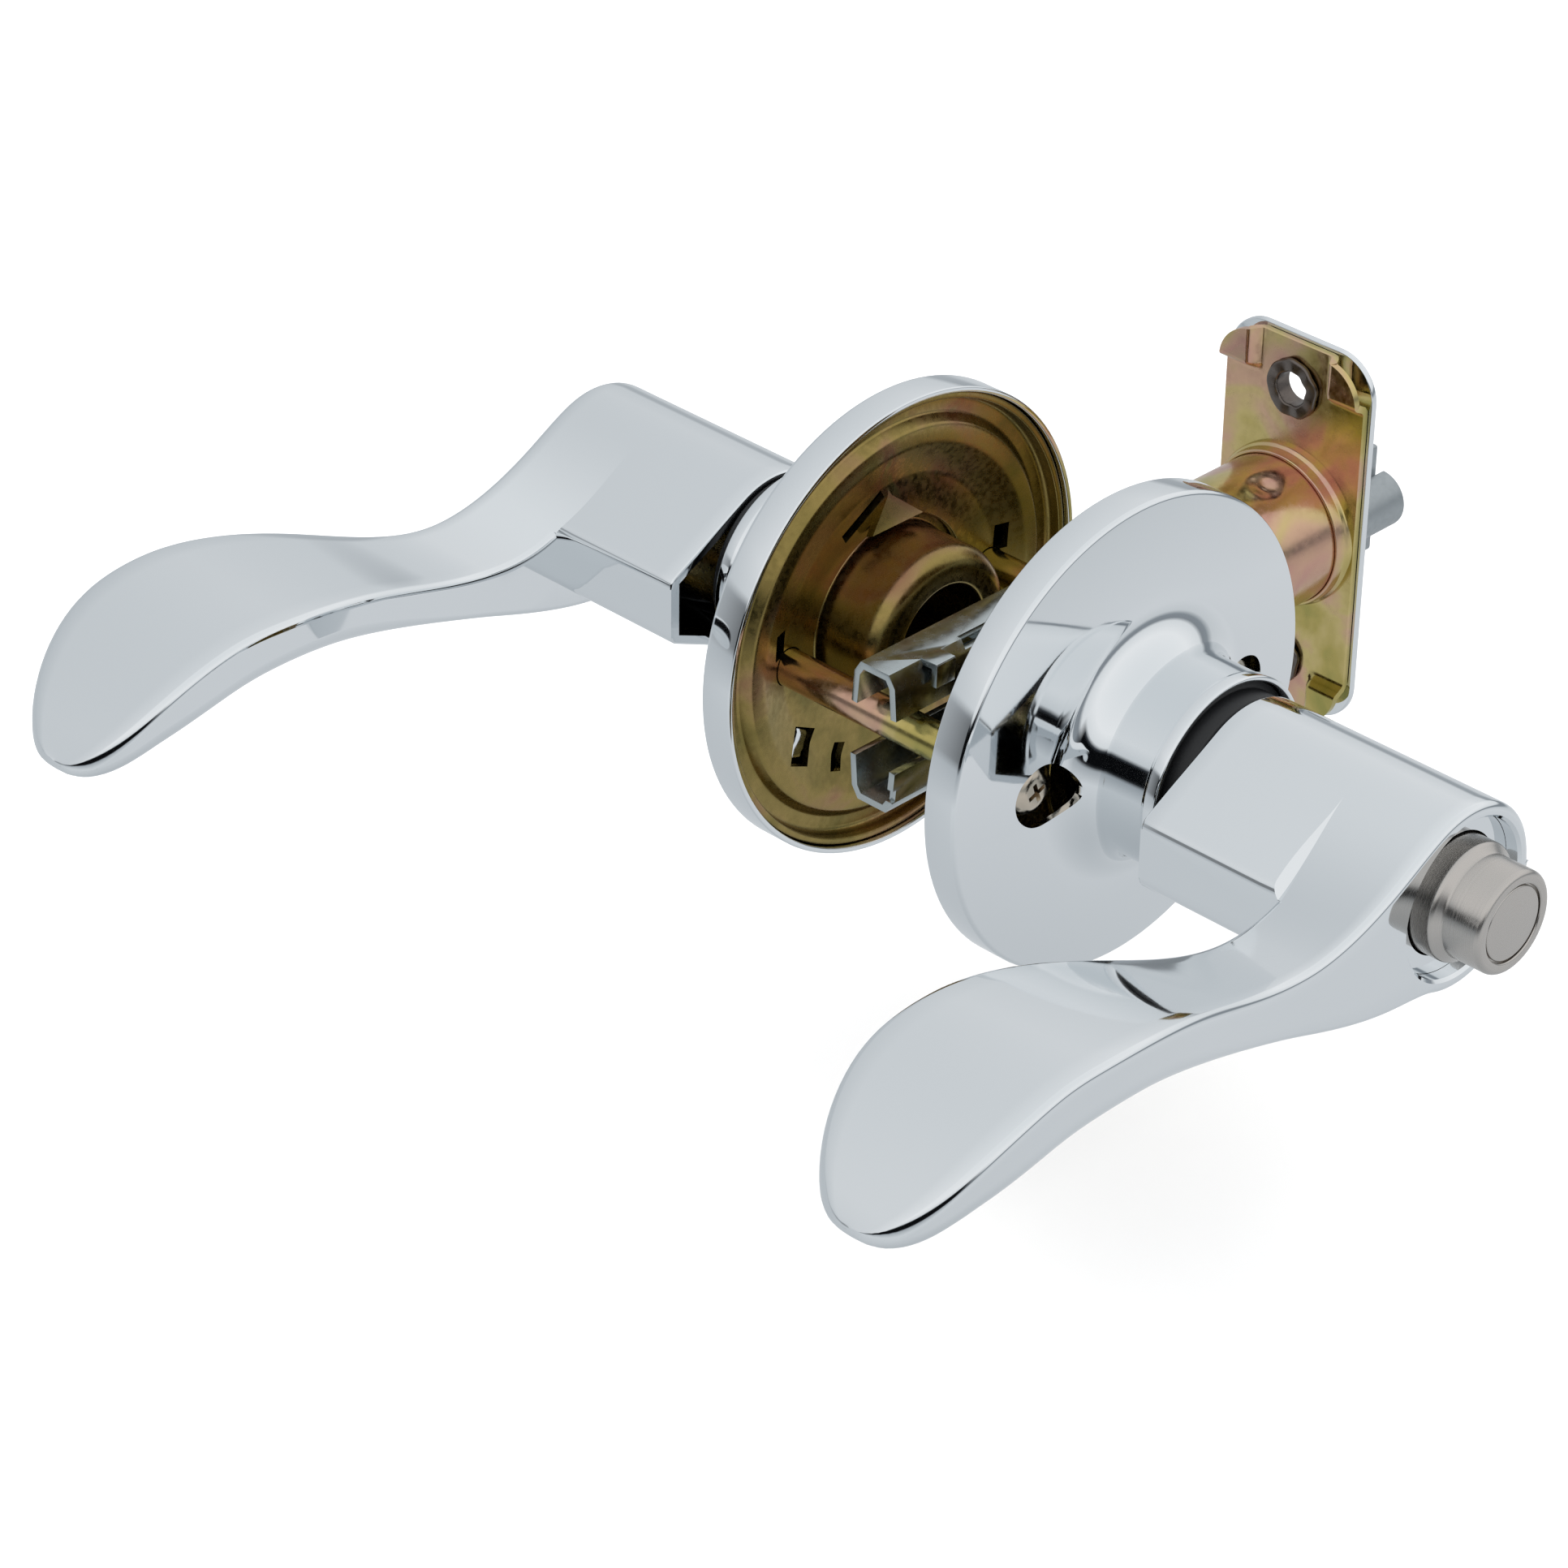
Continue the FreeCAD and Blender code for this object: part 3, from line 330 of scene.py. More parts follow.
def smooth_curve(knots, start, end):
    """Height by reach: a cubic spline through the knots, with the slopes given at its ends."""
    x, y = np.array(knots, float).T
    gap = np.diff(x)
    system, known = np.eye(len(x)), np.zeros(len(x))
    known[0], known[-1] = start, end
    for i in range(1, len(x) - 1):
        system[i, i - 1:i + 2] = 1 / gap[i - 1], 2 / gap[i - 1] + 2 / gap[i], 1 / gap[i]
        known[i] = 3 * ((y[i] - y[i - 1]) / gap[i - 1] ** 2 + (y[i + 1] - y[i]) / gap[i] ** 2)
    slope = np.linalg.solve(system, known)

    def height(reach):
        i = min(max(int(np.searchsorted(x, reach)) - 1, 0), len(gap) - 1)
        t, h = (reach - x[i]) / gap[i], gap[i]
        return ((1 + 2 * t) * (1 - t) ** 2 * y[i] + t * (1 - t) ** 2 * h * slope[i]
                + t * t * (3 - 2 * t) * y[i + 1] + t * t * (t - 1) * h * slope[i + 1])

    return height


round_top = math.sqrt(hub_radius ** 2 - tangent ** 2)
crest = smooth_curve([(tangent, round_top), (12, 8.3), (30, 2.9), (54, 9.4), (73, 13.6), (91, 10.0),
                      (blade_reach, -1.2)], -tangent / round_top, -1.3)
keel = smooth_curve([(tangent, -round_top), (13, -11.0), (30, -6.6), (54, 1.6), (73, 5.5), (91, 2.3),
                     (blade_reach, -4.2)], tangent / round_top * 0.5, -0.75)
tilt = smooth_curve([(tangent, 0), (19.5, 1.9), (30, 1.6), (54, 1.2), (80, 0.9), (blade_reach, 0.2)], 0, 0)


def blade_edge(curve, hand, reach, inset):
    """Height of the crest or keel line at a reach, drawn in by an inset square to it."""
    if reach <= tangent:
        return hand * math.sqrt(max((hub_radius - inset) ** 2 - reach ** 2, 0))
    slope = (curve(reach + 0.05) - curve(reach - 0.05)) / 0.1
    return curve(reach) - hand * inset * math.hypot(1, slope)


def shank_edge(corner, hand, reach, inset):
    """Height of the shank's outline: round, then a flat down to a rounded corner."""
    radius, side = hub_radius - inset, shank_reach - inset
    at = math.atan2(corner, shank_reach) + math.acos(hub_radius / math.hypot(shank_reach, corner))
    leave = radius * math.cos(at)
    if reach <= leave:
        return hand * math.sqrt(max(radius ** 2 - reach ** 2, 0))
    slope = -1 / math.tan(at)
    line = radius * math.sin(at) + slope * (reach - leave)
    rounding = max(corner_round - inset, 0.3)
    centre = side - rounding
    drop = radius * math.sin(at) + slope * (centre - leave) - rounding * math.hypot(1, slope)
    if reach <= centre - rounding * slope / math.hypot(1, slope):
        return hand * line
    return hand * (drop + math.sqrt(max(rounding ** 2 - (reach - centre) ** 2, 0)))


def spread(start, end, count, ends=True):
    """Points on a straight line, with or without its ends."""
    low, high, total = (0, count, count - 1) if ends else (1, count + 1, count + 1)
    return [tuple(a + (b - a) * k / total for a, b in zip(start, end)) for k in range(low, high)]


def lever_section(reach, with_shank):
    """One closed ring of (outward, height) points square to the blade's length."""
    widen = min(max((reach - 30) / 46, 0), 1)
    half = blade_half + (blade_full - blade_half) * widen * widen * (3 - 2 * widen)
    if reach > blade_tip:
        along_tip = (reach - blade_tip) / (blade_reach - blade_tip)
        half *= max(1 - along_tip ** tip_power, 0) ** (1 / tip_power)
    door, front = blade_middle - half, blade_middle + half
    high, low = blade_edge(crest, 1, reach, 0), blade_edge(keel, -1, reach, 0)
    past = max(reach - blade_reach + tip_run, 0) / tip_run
    lift = tip_lift * (1 - math.sqrt(max(1 - past * past, 0)))
    low += lift
    lean = tilt(reach) if reach > tangent else 0
    corner = min(edge_round, half * 0.45, (high - low - lean) / 3)
    thick = min(max((reach - 36) / 30, 0), 1)
    under = min(edge_round + 1.8 * thick * thick * (3 - 2 * thick), half * 0.45, (high - low - lean) / 2.4)
    if reach <= tangent:
        corner = under = edge_round
    turns = [math.radians(90 * k / 5) for k in range(6)]
    far = [(front - corner + corner * math.sin(a),
            blade_edge(crest, 1, reach, corner - corner * math.cos(a))) for a in turns]
    foot = [(front - under + under * math.cos(a),
             blade_edge(keel, -1, reach, under - under * math.sin(a)) + lift) for a in turns]
    face = spread(far[-1], foot[0], 5, False)
    belly = 0.10 * half * min(max((reach - 10) / 20, 0), 1)
    if with_shank:
        shelf = shank_edge(corner_top, 1, reach, 0)
        base = shank_edge(-corner_low, -1, reach, 0)
        step = door + 0.2 - crease_drift * (shank_reach - max(reach, 6)) / (shank_reach - 6)
        slope = lean / (front - door - 2 * edge_round)
        ledge = min(high - slope * (front - edge_round - step), shelf)
        soft = 0.35
        rear_top = [(lever_start + soft - soft * math.cos(a),
                     shank_edge(corner_top, 1, reach, soft - soft * math.sin(a))) for a in turns]
        rear_low = [(lever_start + soft - soft * math.sin(a),
                     shank_edge(-corner_low, -1, reach, soft - soft * math.cos(a))) for a in turns]
        fall = shelf - ledge
        shank_top = spread(rear_top[-1], (step - 0.75 * fall, shelf), 8, False)
        crease = spread((step - 0.75 * fall, shelf), (step, ledge), 6)
        room_left = max(min(under, base - low), 0)
        heel = [(door + room_left - room_left * math.sin(a), low + room_left - room_left * math.cos(a))
                for a in turns]
        shank_low = spread((door, base), rear_low[0], 8)[:-1]
        keel_line = spread(foot[-1], heel[0], 9, False)
        keel_line = [(w, z - belly * (1 - ((w - blade_middle) / half) ** 2)) for w, z in keel_line]
        top_line = spread(crease[-1], far[0], 8, False)
        cap = spread(rear_low[-1], rear_top[0], 5, False)
        return rear_top + shank_top + crease + top_line + far + face + foot + keel_line + heel + shank_low \
            + rear_low + cap
    near = [(door + corner - corner * math.cos(a),
             blade_edge(crest, 1, reach, corner - corner * math.sin(a)) - lean) for a in turns]
    heel = [(door + under - under * math.sin(a),
             blade_edge(keel, -1, reach, under - under * math.cos(a)) + lift) for a in turns]
    closing = max(1 - (reach - shank_reach) / 5, 0)
    rise = max(shank_edge(-corner_low, -1, shank_reach, 0) - heel[-1][1], 0) * closing
    side = spread((door, heel[-1][1] + rise), near[0], 32, False)
    top_line = spread(near[-1], far[0], 8, False)
    keel_line = spread(foot[-1], heel[0], 9, False)
    if half > 0:
        keel_line = [(w, z - belly * (1 - ((w - blade_middle) / half) ** 2)) for w, z in keel_line]
    return side[18:] + near + top_line + far + face + foot + keel_line + heel + side[:18]


# Rings crowd together where the outline turns fast: at the hub's back, the corner and the tip.
# The first and last stop just short of a point, which fill_holes then closes.
first_turn, last_turn = 0.6, 89.3
hub_part = [-hub_radius * math.cos(math.radians(first_turn + (90 - first_turn) * k / 22))
            for k in range(22)]
flat_part = [(shank_reach - corner_round) * k / 20 for k in range(21)]
round_part = [shank_reach - corner_round * (1 - math.sin(math.radians(90 * k / 6)))
              for k in range(1, 7)]
wave_part = [shank_reach + (blade_tip - shank_reach) * k / 56 for k in range(56)]
tip_part = [blade_tip + (blade_reach - blade_tip) * math.sin(math.radians(last_turn * k / 24))
            for k in range(25)]
rings = [(u, True) for u in hub_part + flat_part + round_part] + [(u, False) for u in wave_part + tip_part]
sections = [(u, lever_section(u, shank)) for u, shank in rings]
around = len(sections[0][1])
deselect()
bpy.ops.mesh.primitive_grid_add(x_subdivisions=around, y_subdivisions=len(sections) - 1, size=1)
lever_blank = bpy.context.object
lever_blank.name = "lever_blank"
for row, (reach, ring) in enumerate(sections):
    for column, (outward, height) in enumerate(ring + ring[:1]):
        lever_blank.data.vertices[row * (around + 1) + column].co = (-reach * MM, height * MM, outward * MM)
bpy.ops.object.mode_set(mode="EDIT")
bpy.ops.mesh.select_all(action="SELECT")
bpy.ops.mesh.remove_doubles(threshold=0.000003)
bpy.ops.mesh.fill_holes(sides=0)
bpy.ops.mesh.normals_make_consistent(inside=False)
bpy.ops.object.mode_set(mode="OBJECT")

shank_wall, cavity_depth, sleeve_bore, sleeve_start, sleeve_end = 1.5, 11.0, 9.45, lever_start + 5, 47.3
button_bore, chamber_depth, release_hole = 11.0, 12.0, 1.6
for side in ("inside", "outside"):
    deselect()
    lever = lever_blank.copy()
    lever.data = lever_blank.data.copy()
    lever.name = side + "_wave_lever"
    bpy.context.scene.collection.objects.link(lever)
    cavity = plain_rod(hub_radius - shank_wall, lever_start - 1, lever_start + cavity_depth, steps=96)
    bpy.ops.object.mode_set(mode="EDIT")
    corner_side = shank_reach - shank_wall
    depth = cavity_depth + 1
    ceiling = shank_edge(corner_top, 1, corner_side - 0.4, shank_wall)
    tall = ceiling - shank_edge(-corner_low, -1, corner_side - 0.4, shank_wall)
    middle = ceiling - tall / 2
    bpy.ops.mesh.primitive_cube_add(size=1, scale=(2 * MM, tall * MM, depth * MM), location=(
        (1 - corner_side) * MM, middle * MM, (lever_start - 1 + depth / 2) * MM))
    bpy.ops.mesh.select_all(action="SELECT")
    bpy.ops.mesh.convex_hull()
    bpy.ops.object.mode_set(mode="OBJECT")
    boolean(lever, cavity)
    if side == "inside":
        boolean(lever, plain_rod(sleeve_bore, sleeve_start, lever_front - 6, steps=96))
        mouth = [(0.01, lever_front - chamber_depth), (button_bore, lever_front - chamber_depth),
                 (button_bore, lever_front - 0.4), (button_bore + 0.5, lever_front + 0.1),
                 (button_bore + 0.5, lever_front + 1), (0.01, lever_front + 1)]
        boolean(lever, turned("mouth", mouth, 96, False))
    else:
        boolean(lever, plain_rod(sleeve_bore, sleeve_start, sleeve_end, steps=96))
        boolean(lever, plain_rod(release_hole, sleeve_end - 1, lever_front + 1, steps=32))
        lever.scale = (-1, 1, 1)
        bpy.ops.object.transform_apply()
    settle(lever, chrome, "lever_set", [side + "_lever"], PLACE[side], 28)
bpy.data.objects.remove(lever_blank)


# ---------------------------------------------------------------- liners and spring cups
# Stamped steel plates behind each rose, and the deep cups that hold the return springs.
# Both are yellow-passivated zinc plate: olive gold, with pink and green where the film varies, drawn darker
# than the latch's zinc as painted shade for their place between the plates.


def passivated(name, rough, stops):
    """Zinc plate under a thin film whose colour drifts over some 16 mm, with a fine tooth."""
    made, tree, shader = finish_of(name, "#8F7E4B", rough[0])
    place = grain(tree, shader, 0.9, 0.0015, rough)
    clouds = add(tree, "ShaderNodeTexNoise", {"Scale": 1 / (16 * MM), "Detail": 3.0, "Distortion": 0.8},
                 {"Vector": place})
    tree.links.new(ramp(tree, clouds.outputs["Fac"], stops), shader.inputs["Base Color"])
    return made


# A darker copy of the yellow zinc film for the liners, cups and carried-over yellow zinc nodes: its darker,
# browner stops are painted shade.
zinc_with_painted_shade = passivated("zinc_dichromate_darkened_as_painted_shade", (0.2, 0.36), [
    (0.30, "#6B673A"), (0.42, "#857643"), (0.54, "#99854F"), (0.62, "#9E815A"), (0.68, "#966F55"),
    (0.76, "#7B8455")])
bright_zinc = passivated("bright_yellow_zinc_dichromate", (0.14, 0.28), [
    (0.30, "#A39C5A"), (0.40, "#B9A965"), (0.50, "#CDBA7E"), (0.58, "#D2AE90"), (0.66, "#C99C8C"),
    (0.76, "#A8B67C")])

liner_corners = [
    (32.65, 0.8, 0.3), (31.65, 0.8, 0.3), (31.65, 3.0, 0.9), (29.1, 3.0, 0.7), (27.9, 1.4, 0.9),
    (25.4, 1.4, 3.0), (20.4, 3.0, 3.0), (14.6, 3.0, 0.2), (14.6, 4.0, 0.2), (20.8, 4.0, 2.4),
    (25.2, 2.4, 2.0), (27.3, 2.4, 0.4), (28.6, 4.0, 0.4), (32.65, 4.0, 0.9)]
cup_corners = [
    (13.2, 4.15, 0.5), (13.2, -7.0, 2.8), (8.2, -7.0, 0.5), (8.2, -6.0, 0.3), (12.2, -6.0, 1.8),
    (12.2, 5.15, 0.8), (15.6, 5.15, 0.3), (15.6, 4.15, 0.3)]
rivet_hole, screw_clearance = 2.75, 1.75


def slab(size, at, turn=0.0):
    """A square cutting block in millimetres, turned about its own z axis."""
    deselect()
    bpy.ops.mesh.primitive_cube_add(size=1, scale=[s * MM for s in size], location=[a * MM for a in at],
                                    rotation=(0, 0, math.radians(turn)))
    bpy.ops.object.transform_apply()
    return bpy.context.object


for side in ("inside", "outside"):
    liner = turned(side + "_stamped_liner", rounded(liner_corners))
    hole, hand = (rivet_hole, 1) if side == "outside" else (screw_clearance, -1)
    for reach in (screw_reach, -screw_reach):
        boolean(liner, plain_rod(hole, 0, 6, (reach, 0), 32))
        boolean(liner, slab((2.2, 4.0, 6), (reach + reach / 10, 4.0, 3)))
    boolean(liner, slab((4.2, 5.2, 6), (17.1 * hand, -13.3, 3), 26 * hand))
    boolean(liner, slab((2.2, 4.0, 6), (9.9 * hand, -18.0, 3), 21 * hand))
    boolean(liner, slab((8.4, 1.5, 6), (5.6 * hand, 17.2, 3), -30 * hand))
    deselect()
    bpy.ops.mesh.primitive_cylinder_add(
        vertices=3, radius=1, depth=1, location=(0.6 * MM * hand, 15.9 * MM, 2.5 * MM),
        scale=(5.6 * MM, 2.9 * MM, 1.3 * MM), rotation=(0.42, 0, 0))
    bpy.ops.object.transform_apply()
    boolean(liner, bpy.context.object, "UNION")
    settle(liner, zinc_with_painted_shade, "chassis", [side + "_liner"], PLACE[side])
    cup = turned(side + "_deep_cup", rounded(cup_corners))
    settle(cup, zinc_with_painted_shade, "chassis", [side + "_spring_cup"], PLACE[side])


# ---------------------------------------------------------------- neck rings
# Black acetal bearings pressed into the necks. Each sleeve turns in one, and its
# shoulder fills the gap between the neck's lip and the lever.

acetal, tree, shader = finish_of("black_moulded_acetal", "#101113", 0.5, 0.0)
grain(tree, shader, 0.6, 0.006)
ring_corners = [
    (9.5, 16.5, 0.2), (13.7, 16.5, 0.3), (13.7, 20.4, 0.4), (12.6, 20.9, 0.3), (12.6, 24.2, 0.5),
    (9.5, 24.2, 0.3)]
for side in ("inside", "outside"):
    ring = turned(side + "_bearing_ring", rounded(ring_corners))
    settle(ring, acetal, "chassis", [side + "_neck_ring"], PLACE[side])


# ---------------------------------------------------------------- push button
# Turned brass, satin-nickel plated: a skirt, a cap with a rounded rim, and a face disc
# pressed into it. Turning leaves rings round its axis, too fine to show at their true
# pitch, so they are drawn coarser.

satin_nickel, tree, shader = finish_of("satin_nickel_on_turned_brass", "#C3BEB9", 0.24)
spot = add(tree, "ShaderNodeTexCoord").outputs["Object"]
across = add(tree, "ShaderNodeVectorMath", {"operation": "MULTIPLY", 1: (1, 0, 1)}, {0: spot})
radius = add(tree, "ShaderNodeVectorMath", {"operation": "LENGTH"}, {0: across.outputs["Vector"]})
along = add(tree, "ShaderNodeSeparateXYZ", links={"Vector": spot})
lathe = add(tree, "ShaderNodeMath", {"operation": "ADD"},
            {0: radius.outputs["Value"], 1: along.outputs["Y"]})
ring_pitch = 0.28
rings_at = add(tree, "ShaderNodeTexNoise",
               {"noise_dimensions": "1D", "Scale": 1 / (ring_pitch * MM), "Detail": 2.0},
               {"W": lathe.outputs["Value"]})
turned_rough = add(tree, "ShaderNodeMapRange",
                   {"From Min": 0.3, "From Max": 0.7, "To Min": 0.2, "To Max": 0.3},
                   {"Value": rings_at.outputs["Fac"]})
turned_bump = add(tree, "ShaderNodeBump", {"Strength": 1.0, "Distance": 0.0006 * MM},
                  {"Height": rings_at.outputs["Fac"]})
tree.links.new(turned_rough.outputs["Result"], shader.inputs["Roughness"])
tree.links.new(turned_bump.outputs["Normal"], shader.inputs["Normal"])

axis, skirt_radius, cap_radius, recess = 0.01, 8.2, 7.1, 5.4
skirt_back, skirt_front, cap_front, recess_floor = 52, 61.6, 68.4, 67.74
cap = turned("button_cap", rounded([
    (axis, skirt_back, 0), (skirt_radius, skirt_back, 0.3), (skirt_radius, skirt_front, 0.9),
    (cap_radius, skirt_front + 1.0, 0.5), (cap_radius, cap_front, 0.8), (recess, cap_front, 0.25),
    (recess, recess_floor, 0), (axis, recess_floor, 0)], 9), 96, False)
settle(cap, satin_nickel, "button", ["button_body"], PLACE["inside"])
face = turned("button_face", rounded([
    (0.01, 67.75, 0), (5.15, 67.75, 0), (5.15, 68.24, 0.22), (0.01, 68.24, 0)]), 96, False)
settle(face, satin_nickel, "button", ["button_disc"], PLACE["inside"])


# ---------------------------------------------------------------- posts and screws
# Long threaded posts riveted into the outside liner take two nickel-plated pan-head
# screws from the inside, with cross recesses. They pull the roses on to the door.

nickel, tree, shader = finish_of("bright_nickel_plate", "#C9BEAE", 0.16)
grain(tree, shader, 0.6, 0.004, (0.12, 0.24))
post_low, post_high, post_radius, thread_bore = -2 * half_door / MM + 2.1, 4.0, 2.6, 1.72
post_outline = [(thread_bore, post_low, 0.2), (post_radius, post_low, 0.35), (post_radius, post_high, 0),
                (thread_bore, post_high, 0)]
screw_tip, screw_radius, head_radius, head_seat = -20.1, 1.55, 3.58, 4.0
screw_outline = [
    (axis, screw_tip, 0), (screw_radius, screw_tip, 0.4), (screw_radius, head_seat, 0),
    (head_radius, head_seat, 0.2), (head_radius, 5.7, 0.7), (2.2, 6.58, 1.6), (axis, 6.6, 0)]


def twin(piece, shift):
    """A second copy of a piece's mesh, in the same piece, moved by a shift in millimetres."""
    pick(piece)
    bpy.ops.object.mode_set(mode="EDIT")
    bpy.ops.mesh.select_all(action="SELECT")
    bpy.ops.mesh.duplicate_move(TRANSFORM_OT_translate={"value": [s * MM for s in shift]})
    bpy.ops.object.mode_set(mode="OBJECT")


def move(piece, by):
    """Moves a piece by a distance in millimetres, in its mesh."""
    pick(piece)
    piece.location = [b * MM for b in by]
    bpy.ops.object.transform_apply()


for group, outline, material, slot, side in (
        ("threaded_posts", post_outline, bright_zinc, "yellow_zinc", "outside"),
        ("cross_head_screws", screw_outline, nickel, "nickel_screw", "inside")):
    whole = turned(group, rounded(outline), 48, group == "threaded_posts")
    if side == "inside":
        for turn in (20, 110):
            arm = slab((4.2, 0.95, 2.8), (0, 0, 6.6), turn)
            bpy.ops.object.mode_set(mode="EDIT")
            bpy.ops.mesh.select_all(action="DESELECT")
            bpy.ops.object.mode_set(mode="OBJECT")
            for face in arm.data.polygons:
                face.select = face.normal.z < -0.9
            bpy.ops.object.mode_set(mode="EDIT")
            bpy.ops.transform.resize(value=(0.45, 0.45, 1))
            bpy.ops.object.mode_set(mode="OBJECT")
            boolean(whole, arm)
    move(whole, (screw_reach, 0, 0))
    twin(whole, (-2 * screw_reach, 0, 0))
    node = "mounting_posts" if side == "outside" else "mounting_screws"
    settle(whole, material, "chassis", [node], PLACE[side])


# ---------------------------------------------------------------- latch plates
# A chromed faceplate over a yellow-zinc plate pressed from sheet. The plate's corners are
# set back as tabs, its middle is drawn out to a collar, and two crimped eyelets join both.

LATCH = Matrix(((0, 0, 1, 0), (1, 0, 0, 0), (0, 1, 0, 0), (0, 0, 0, 1)))
plate_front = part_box("latch_faceplate")[1].x / MM
plate_wide, plate_tall, plate_wall, plate_corner, hole_reach = 12.7, 28.57, 1.0, 6.35, 21.05
bolt_hole, plate_hole = 10.0, 3.45


def plate_blank(name, wide, tall, corner, low, high):
    """A block with rounded corners, square to the latch's axis."""
    blank = slab((2 * wide, 2 * tall, high - low), (0, 0, (low + high) / 2))
    blank.name = name
    bpy.ops.object.mode_set(mode="EDIT")
    bpy.ops.mesh.select_mode(type="EDGE")
    bpy.ops.mesh.select_all(action="DESELECT")
    bpy.ops.object.mode_set(mode="OBJECT")
    for edge in blank.data.edges:
        start, end = (blank.data.vertices[v].co for v in edge.vertices)
        edge.select = abs(start.z - end.z) > 0.5 * (high - low) * MM
    bpy.ops.object.mode_set(mode="EDIT")
    bpy.ops.mesh.bevel(offset=corner * MM, segments=14)
    bpy.ops.mesh.select_mode(type="VERT")
    bpy.ops.object.mode_set(mode="OBJECT")
    return blank


def broken_edges(piece, width, segments=2, angle=35):
    """A small bevel on a piece's sharp edges, as tumbling or pressing leaves."""
    pick(piece)
    step = piece.modifiers.new("edges", "BEVEL")
    step.width = width * MM
    step.segments = segments
    step.limit_method = "ANGLE"
    step.angle_limit = math.radians(angle)
    bpy.ops.object.modifier_apply(modifier="edges")


def ease(t):
    """A smooth rise from 0 to 1."""
    t = min(max(t, 0), 1)
    return t * t * (3 - 2 * t)


faceplate = plate_blank("latch_front", plate_wide, plate_tall, plate_corner, plate_front - plate_wall,
                        plate_front)
broken_edges(faceplate, 0.22, 3, 60)
boolean(faceplate, plain_rod(bolt_hole, 58, 62, steps=96))
for reach in (hole_reach, -hole_reach):
    boolean(faceplate, plain_rod(plate_hole, 58, 62, (0, reach), 48))
settle(faceplate, chrome, "chassis", ["latch_faceplate"], LATCH)

back_wall, back_wide, back_tall, back_corner, tab_rise = 1.0, 12.1, 27.97, 5.75, 1.9
back_gap, tube_opening, eyelet_hole = 0.15, 11.5, 3.35
back_face = plate_front - plate_wall - back_gap - back_wall
deselect()
bpy.ops.mesh.primitive_grid_add(x_subdivisions=72, y_subdivisions=150, size=2)
backplate = bpy.context.object
backplate.name = "latch_backing"
for vertex in backplate.data.vertices:
    across, tall = vertex.co.x * back_wide, vertex.co.y * back_tall
    beyond = Vector(((abs(across) - back_wide) / back_corner + 1,
                     (abs(tall) - back_tall) / back_corner + 1))
    if beyond.x > 0 and beyond.y > 0:
        drawn_in = beyond * max(beyond) / beyond.length
        across = math.copysign(back_wide - back_corner + drawn_in.x * back_corner, across)
        tall = math.copysign(back_tall - back_corner + drawn_in.y * back_corner, tall)
    set_back = ease((abs(across) - 5.9) / 1.4) * ease((abs(tall) - 21.3) / 1.4)
    vertex.co = (across * MM, tall * MM, (back_face - tab_rise * set_back) * MM)
step = backplate.modifiers.new("wall", "SOLIDIFY")
step.thickness = back_wall * MM
step.offset = 1
bpy.ops.object.modifier_apply(modifier="wall")
bpy.ops.object.mode_set(mode="EDIT")
bpy.ops.mesh.select_all(action="SELECT")
bpy.ops.mesh.normals_make_consistent(inside=False)
bpy.ops.object.mode_set(mode="OBJECT")
collar = turned("collar", rounded([
    (11.04, back_face + 0.9, 0), (12.04, back_face + 0.9, 0), (12.04, back_face - 0.7, 0.45),
    (11.6, back_face - 1.1, 0.2), (11.5, back_face - 2.6, 0.25), (11.04, back_face - 2.6, 0.15)], 8), 96)
boolean(backplate, plain_rod(tube_opening, 50, 62, steps=96))
boolean(backplate, collar, "UNION")
for reach in (hole_reach, -hole_reach):
    boolean(backplate, plain_rod(eyelet_hole, 50, 62, (0, reach), 48))
settle(backplate, bright_zinc, "chassis", ["latch_backplate"], LATCH, 40)

dark_steel, tree, shader = finish_of("dark_crimped_steel", "#6E6661", 0.34)
grain(tree, shader, 0.8, 0.008, (0.24, 0.44))
eyelet_bore, eyelet_barrel, crimp_radius, crimp_back, eyelet_front = 2.5, 3.3, 4.35, 57.2, 60.1
crimp_limit = 58.3
eyelets = turned("crimped_eyelets", rounded([
    (eyelet_bore, crimp_back, 0.35), (crimp_radius, crimp_back, 0.4), (crimp_radius, 57.95, 0.2),
    (eyelet_barrel, 58.0, 0), (eyelet_barrel, eyelet_front, 0.15),
    (eyelet_bore, eyelet_front, 0.15)], 8), 80)
for vertex in eyelets.data.vertices:
    turn = math.atan2(vertex.co.y, vertex.co.x)
    if vertex.co.z < crimp_limit * MM:
        swell = 1 + 0.018 * math.sin(5 * turn) + 0.014 * math.sin(9 * turn + 1)
        vertex.co.x *= swell
        vertex.co.y *= swell
        vertex.co.z += 0.09 * MM * math.sin(7 * turn)
move(eyelets, (0, hole_reach, 0))
twin(eyelets, (0, -2 * hole_reach, 0))
settle(eyelets, dark_steel, "chassis", ["plate_eyelets"], LATCH)


# ---------------------------------------------------------------- latch tube
# Rolled from thin sheet, zinc plated and yellow passivated, with one round dimple
# punched into its upper side.

tube_radius, tube_wall, tube_start, tube_end = 11.0, 0.9, 23.0, 59.2
dimple, dimple_depth, dimple_size = Vector((-3.2, 10.4, 49.0)), 0.75, 1.9
tube = turned("rolled_latch_tube", [(tube_radius - tube_wall, tube_start)]
              + [(tube_radius, tube_start + (tube_end - tube_start) * k / 60) for k in range(61)]
              + [(tube_radius - tube_wall, tube_end)], 144)
for vertex in tube.data.vertices:
    off = (vertex.co / MM - dimple) / dimple_size
    sunk = 1 - dimple_depth * math.exp(-off.length_squared) / tube_radius
    vertex.co.x *= sunk
    vertex.co.y *= sunk
settle(tube, bright_zinc, "chassis", ["latch_tube"], LATCH)


